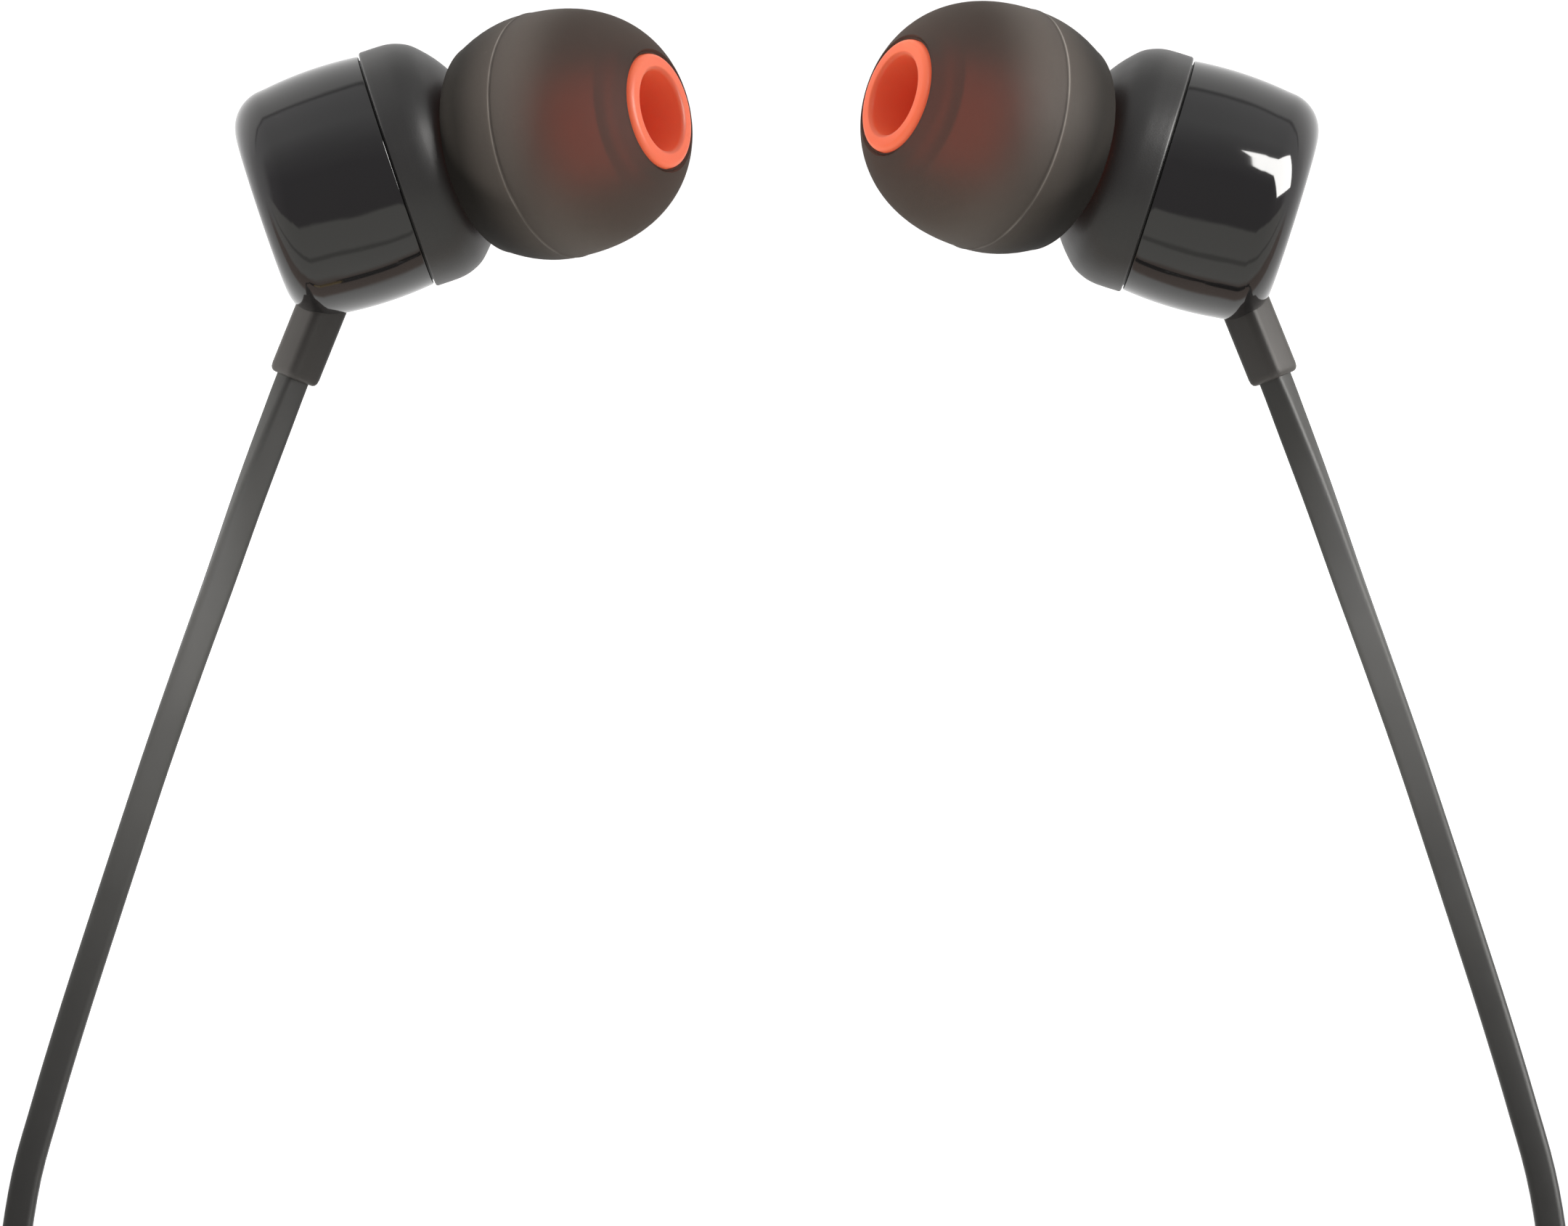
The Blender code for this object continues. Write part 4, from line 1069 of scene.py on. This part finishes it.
def make_rear_cover(side, entry):
    """The gloss cup behind the seam, open where the strain relief passes through."""
    edge_x = COVER_FRONT - COVER_EDGE
    corner_x = COVER_BACK + COVER_CORNER
    outline = [(COVER_FLOOR, 0)]
    outline += arc((COVER_FLOOR + COVER_FILLET, COVER_BORE - COVER_FILLET), COVER_FILLET, 180, 90, 8)
    outline += [(SEAM_STEP - STEP_GAP, COVER_BORE), (SEAM_STEP - STEP_GAP, SEAM_LIP + LIP_GAP)]
    outline += [(COVER_FRONT, SEAM_LIP + LIP_GAP)]
    outline += arc((edge_x, cover_radius(edge_x) - COVER_EDGE), COVER_EDGE, 0, 84, 5)
    outline += [(x, cover_radius(x)) for x in np.linspace(edge_x, corner_x, 26)[1:-1]]
    outline += arc((corner_x, cover_radius(corner_x) - COVER_CORNER), COVER_CORNER, 98, 178, 18)
    placement = earbud_placement(side)
    cover = turned_mesh("cover", outline + COVER_CROWN, placement, segments=128)
    size = [MM * (width + OPENING_ROOM) for width in RELIEF_SECTION]
    section = rounded_rectangle(*size, MM * OPENING_CORNER, 8)
    ends = [entry @ Vector((x * MM, 0, 0)) for x in OPENING_ENDS]
    tool = swept_mesh("relief_opening", ends, [section] * 2, [entry.to_3x3() @ UP] * 2)
    mesh = shaded_like(cut(cover.copy(), tool.copy()), cover, tool)
    finished(f"{side}_cover", mesh, "gloss_black", f"{side}_rear_cover", angle=None)


def domed(radius, heights):
    """Points of a dome of this radius, at these distances out from the earbud's axis."""
    x, out = DOME_CENTRE
    return [(x + math.sqrt(radius**2 - (height - out) ** 2), height) for height in heights]


def make_front_shell(side):
    """The satin shell: its spigot in the cover, the driver's seat, the domed front and the angled nozzle."""
    dome = domed(DOME_RADIUS, np.linspace(0, DOME_REACH, 18))
    shoulder = smooth_curve(dome[-2:] + SHOULDER, steps=5)
    outside = dome[:-1] + [tuple(point) for point in shoulder[5:]]
    outside += arc((SHELL_BACK + SHELL_EDGE, SHELL_RADIUS - SHELL_EDGE), SHELL_EDGE, 90, 180, 6)
    chamber = domed(CHAMBER_RADIUS, np.linspace(CHAMBER_REACH, 0, 10))
    outline = outside + SPIGOT + DRIVER_SEAT + chamber
    shell = turned_mesh("shell", outline, earbud_placement(side), segments=128)
    nozzle = turned_mesh("nozzle", rounded(NOZZLE), nozzle_placement(side), segments=64)
    bore = turned_mesh("bore", NOZZLE_BORE, nozzle_placement(side), segments=48)
    mesh = cut(boolean(shell.copy(), nozzle.copy(), "UNION"), bore.copy())
    mesh = shaded_like(mesh, shell, nozzle, bore)
    finished(f"{side}_shell", mesh, "matte_black", f"{side}_front_shell", angle=None)


def make_screen(side):
    """The woven screen in the nozzle's mouth, in its ring."""
    placement = nozzle_placement(side)
    cage = bmesh.new()
    for crossed in (False, True):
        for i in range(-WIRE_COUNT, WIRE_COUNT + 1):
            across = i * WIRE_PITCH
            half = math.sqrt(SCREEN_RADIUS**2 - across**2)
            rings = []
            for t in np.linspace(-half, half, max(8, int(half * 2 / WIRE_PITCH * 4))):
                height = SCREEN_AT + WIRE_WAVE * math.cos(math.pi * (t / WIRE_PITCH + i + crossed))
                ring = []
                for k in range(WIRE_SIDES):
                    angle = math.tau * k / WIRE_SIDES
                    x, aside = height + WIRE_RADIUS * math.cos(angle), across + WIRE_RADIUS * math.sin(angle)
                    ring.append(cage.verts.new((x, aside, t) if crossed else (x, t, aside)))
                rings.append(ring)
            close_tube(cage, rings)
    mesh = closed_mesh(cage, "screen", placement)
    both = bmesh.new()
    both.from_mesh(mesh)
    both.from_mesh(turned_mesh("screen_ring", rounded(SCREEN_RING), placement, segments=64))
    both.to_mesh(mesh)
    both.free()
    finished(f"{side}_screen", mesh, "steel", f"{side}_nozzle_screen")


def make_strain_relief(side, entry):
    """The sleeve that carries the cable into the cover, with the flange that holds it there."""
    sections = []
    for _, inset in RELIEF_STATIONS:
        size = [MM * (width - 2 * inset) for width in RELIEF_SECTION]
        sections.append(rounded_rectangle(*size, MM * max(0.05, RELIEF_CORNER - inset), 8))
    points = [entry @ Vector((x * MM, 0, 0)) for x, _ in RELIEF_STATIONS]
    sleeve = swept_mesh("sleeve", points, sections, [entry.to_3x3() @ UP] * len(points))
    flange = turned_mesh("flange", rounded(RELIEF_FLANGE), entry, segments=48)
    hole = socket(entry @ Matrix.Rotation(-math.pi / 2, 4, "X"))
    mesh = cut(boolean(sleeve, flange, "UNION"), hole)
    finished(f"{side}_relief", mesh, "soft_grey", f"{side}_strain_relief", angle=40)


def skirt_radius(back, wall=0.0):
    """The skirt's outer radius at a distance ahead of its rear rim, less a wall."""
    if back < TIP_WIDEST:
        return TIP_RADIUS - TIP_TAPER * (TIP_WIDEST - back) ** 2 - wall
    share = (back - TIP_WIDEST) / (TIP_DOME - wall)
    return (TIP_RADIUS - wall) * (1 - share**TIP_POWER) ** (1 / TIP_POWER)


def painted_core_glow(along, radius):
    """Painted light: the core gives off most light where the skirt covers it, and least in its bore."""
    if radius < CORE_BORE + 0.15:
        return PAINTED_GLOW["bore"]
    return PAINTED_GLOW["stem" if along < CORE_RIM else "rim"]


def make_tip(side):
    """The ear tip: a smoky silicone dome on an orange core."""
    placement = tip_placement(side)
    mesh = turned_mesh("core", rounded(CORE, 8), placement, segments=128)
    # Painted light: each vertex of the core is marked with how much light it gives off.
    mark(mesh, "painted_glow", [painted_core_glow(along, radius) for along, radius in on_axis(mesh, placement)])
    finished(f"{side}_core", mesh, "orange_silicone", f"{side}_tip_core", body=f"{side}_tip")

    outline = [(back, skirt_radius(back)) for back in SKIRT_FRONT]
    ridge = [(MOULD_LINE + offset, lift) for offset, lift in MOULD_RIDGE]
    outline += [(back, skirt_radius(back) + lift) for back, lift in ridge]
    outline += [(back, skirt_radius(back)) for back in SKIRT_REAR]
    rim = TIP_WALL / 2
    outline += arc((rim, skirt_radius(rim) - rim), rim, 100, 260, 8)
    outline += [(back, skirt_radius(back, TIP_WALL)) for back in SKIRT_INSIDE]
    outline = [(TIP_BACK + back, radius) for back, radius in outline]
    mesh = turned_mesh("skirt", outline + rounded(TIP_LAND), placement, segments=128)
    mark(mesh, "along", [along for along, radius in on_axis(mesh, placement)])
    finished(f"{side}_skirt", mesh, "smoke_silicone", f"{side}_tip_skirt", body=f"{side}_tip")


# --- pieces on the cable


def rounded_box(box, placement):
    """A box with rounded edges, its middle at a height above the table."""
    cage = bmesh.new()
    bmesh.ops.create_cube(cage, size=1.0)
    for vert in cage.verts:
        vert.co = Vector(vert.co[i] * box.size[i] for i in range(3)) + UP * box.height
    if box.rounding:
        edges = {"geom": cage.edges[:], "affect": "EDGES"}
        bmesh.ops.bevel(cage, **edges, offset=box.rounding, segments=box.steps, profile=0.5)
    return closed_mesh(cage, "box", placement)


def make_split(entries):
    """The moulded block where the two side cables join the main one."""
    low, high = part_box("y_split")
    length, width, height = (high - low) / MM
    sections, points = [], []
    for x in np.linspace(-1, 1, 41):
        curved = max(0.0, (abs(x) - SPLIT_STRAIGHT) / (1 - SPLIT_STRAIGHT))
        inset = SPLIT_END * (1 - math.sqrt(max(0.0, 1 - curved**2)))
        narrow = 1 - SPLIT_TAPER * ease((x + 1) / 2)
        size = (MM * (width * narrow - 2 * inset), MM * (height - 2 * inset))
        sections.append(rounded_rectangle(*size, MM * (SPLIT_CORNER - inset), 8))
        points.append(middle("y_split") + Vector((x * length / 2 * MM, 0, 0)))
    mesh = swept_mesh("split", points, sections, [UP] * len(points))
    mesh = cut(mesh, *(socket(entries[name]) for name in ("split_left", "split_right", "split_front")))
    return finished("split", mesh, "matte_black", "y_split", angle=40)


def make_remote(entries):
    """The in-line remote: two shells round its board, and the button."""
    centre = middle("remote_back_shell")
    placement = aimed(Vector((centre.x, centre.y, 0)), Vector((0, -1, 0)))

    def shell_half(cut_away):
        tools = [rounded_box(box, placement) for box in (REMOTE_HOLLOW, cut_away)]
        tools += [socket(entries[name]) for name in ("remote_top", "remote_bottom")]
        return cut(rounded_box(REMOTE_BODY, placement), *tools)

    front = cut(shell_half(BELOW_SEAM), rounded_box(KEY_OPENING, placement))
    downward = Matrix.Translation((SOUND_HOLE_AT * MM, 0, 0)) @ Matrix.Rotation(math.pi / 2, 4, "Y")
    back = cut(shell_half(ABOVE_SEAM), turned_mesh("hole", SOUND_HOLE, placement @ downward, segments=32))
    button = rounded_box(KEY, placement)
    for box in (KEY_FLANGE, KEY_BAR):
        button = boolean(button, rounded_box(box, placement), "UNION")
    return [
        finished("remote_front", front, "gloss_black", "remote_front_shell", angle=30),
        finished("remote_back", back, "matte_black", "remote_back_shell", angle=30),
        finished("remote_key", button, "matte_black", "remote_button", body="button", angle=30),
    ]


def grip_outline(shoulder):
    """The boot, with its grooves, and the grip ahead of it, round the pin's socket."""
    outline = [*BOOT_FACE]
    for x in np.arange(0.2, BOOT_LENGTH, 0.1):
        turns = (x - GROOVES[0]) / GROOVE_PITCH
        groove = GROOVE_DEPTH / 2 * (1 - math.cos(math.tau * turns)) if GROOVES[0] < x < GROOVES[1] else 0.0
        outline.append((x, BOOT_RADIUS + BOOT_SLOPE * x - groove))
    swollen = BOOT_LENGTH + SWELL_LENGTH
    front = shoulder - 0.5
    for x in np.linspace(BOOT_LENGTH, front, 70):
        radius = GRIP_START + GRIP_SWELL * ease(min(1.0, (x - BOOT_LENGTH) / SWELL_LENGTH))
        if x > swollen:
            radius -= WAIST_DEPTH * math.sin(math.pi * (x - swollen) / (front - swollen))
        if abs(x - shoulder + GRIP_LINE) < LINE_HALF:
            radius -= LINE_DEPTH
        outline.append((x, radius))
    outline += arc((shoulder - GRIP_EDGE, GRIP_START + GRIP_SWELL - GRIP_EDGE), GRIP_EDGE, 90, 0, 6)
    floor = shoulder - PIN_SOCKET_DEPTH
    return outline + [(shoulder, PIN_SOCKET), (floor, PIN_SOCKET), (floor, 0)]


def make_plug(entries):
    """The four-pole plug: a ribbed boot and grip over the pin's contacts and the insulation between them."""
    placement = aimed(entries["plug"].translation, Vector((-1, 0, 0)))
    origin = -placement.translation.x

    def extent(node):
        low, high = reach(node, Vector((-1, 0, 0)))
        return (low - origin) / MM, (high - origin) / MM

    def piece(name, outline, slot, node, angle=40):
        return finished(name, turned_mesh(name, outline, placement, segments=64), slot, node, angle=angle)

    grip = turned_mesh("grip", grip_outline(extent("plug_grip")[1]), placement)
    grip = cut(grip, socket(entries["plug"]))
    made = [finished("plug_body", grip, "matte_black", "plug_grip", angle=40)]

    sleeve_back, sleeve_front = extent("plug_sleeve_contact")
    fronts = []
    for node in ("plug_sleeve_contact", "plug_ring_2", "plug_ring_1"):
        back, front = extent(node)
        ring = [(front, PIN_RADIUS, PIN_EDGE), (back, PIN_RADIUS, PIN_EDGE)]
        ring += [(back, CONTACT_BORE, 0), (front, CONTACT_BORE, 0)]
        made.append(piece(f"{node}_turned", rounded(ring, 3), "gold", node))
        fronts.insert(0, front)

    neck = fronts[0] + COLLAR_LENGTH
    flank = COLLAR_RADIUS - COLLAR_EDGE
    core = [(neck, INSULATOR_BORE)]
    for front in fronts:
        ahead, behind = front + COLLAR_LENGTH, front + COLLAR_EDGE
        core += [(ahead, flank), (ahead - COLLAR_EDGE, COLLAR_RADIUS)]
        core += [(behind + COLLAR_EDGE, COLLAR_RADIUS), (behind, flank), (behind, INSULATOR_RADIUS)]
        if front > sleeve_front:
            core += [(front - RING_LENGTH, INSULATOR_RADIUS)]
    core += [(sleeve_back, INSULATOR_RADIUS), (sleeve_back, INSULATOR_BORE)]
    made.append(piece("plug_core", core, "natural_plastic", "plug_insulator"))

    back, tip = extent("plug_tip")
    point = [(tip + x, radius) for x, radius in PIN_TIP] + [(neck + x, radius) for x, radius in NECK]
    point = [tuple(place) for place in smooth_curve(point, steps=5)]
    point += [(neck + COLLAR_EDGE, ROD_RADIUS), (back, ROD_RADIUS), (back, 0)]
    made.append(piece("plug_point", point, "gold", "plug_tip", angle=30))
    return made


# --- main


def paint_nodes():
    """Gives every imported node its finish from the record's slots."""
    slots = {part["node"]: part["material_slot"] for part in frame["record"]["subparts"]}
    for name, node in NODES.items():
        node.data.materials.clear()
        node.data.materials.append(MATERIALS[slots[name]])


bpy.context.scene.view_settings.view_transform = "Standard"
make_camera()
make_floor()
make_tent()
make_softbox()
make_side_lights()
paint_nodes()
entries = {side: relief_placement(side) for side in SIDES}
entries["split_left"] = entry_point("y_split", "-x", CORD_SPREAD)
entries["split_right"] = entry_point("y_split", "-x", -CORD_SPREAD)
entries["split_front"] = entry_point("y_split", "+x")
entries["remote_top"] = entry_point("remote_back_shell", "+y", height=REMOTE_HEIGHT)
entries["remote_bottom"] = entry_point("remote_back_shell", "-y", height=REMOTE_HEIGHT)
entries["plug"] = entry_point("plug_grip", "+x")
for side in SIDES:
    make_rear_cover(side, entries[side])
    make_front_shell(side)
    make_screen(side)
    make_strain_relief(side, entries[side])
    make_tip(side)
pieces = {f"{name}_tie": make_tie(name) for name in COILS}
pieces["split"] = make_split(entries)
pieces["remote"] = make_remote(entries)
pieces["plug"] = make_plug(entries)
make_cables(entries)
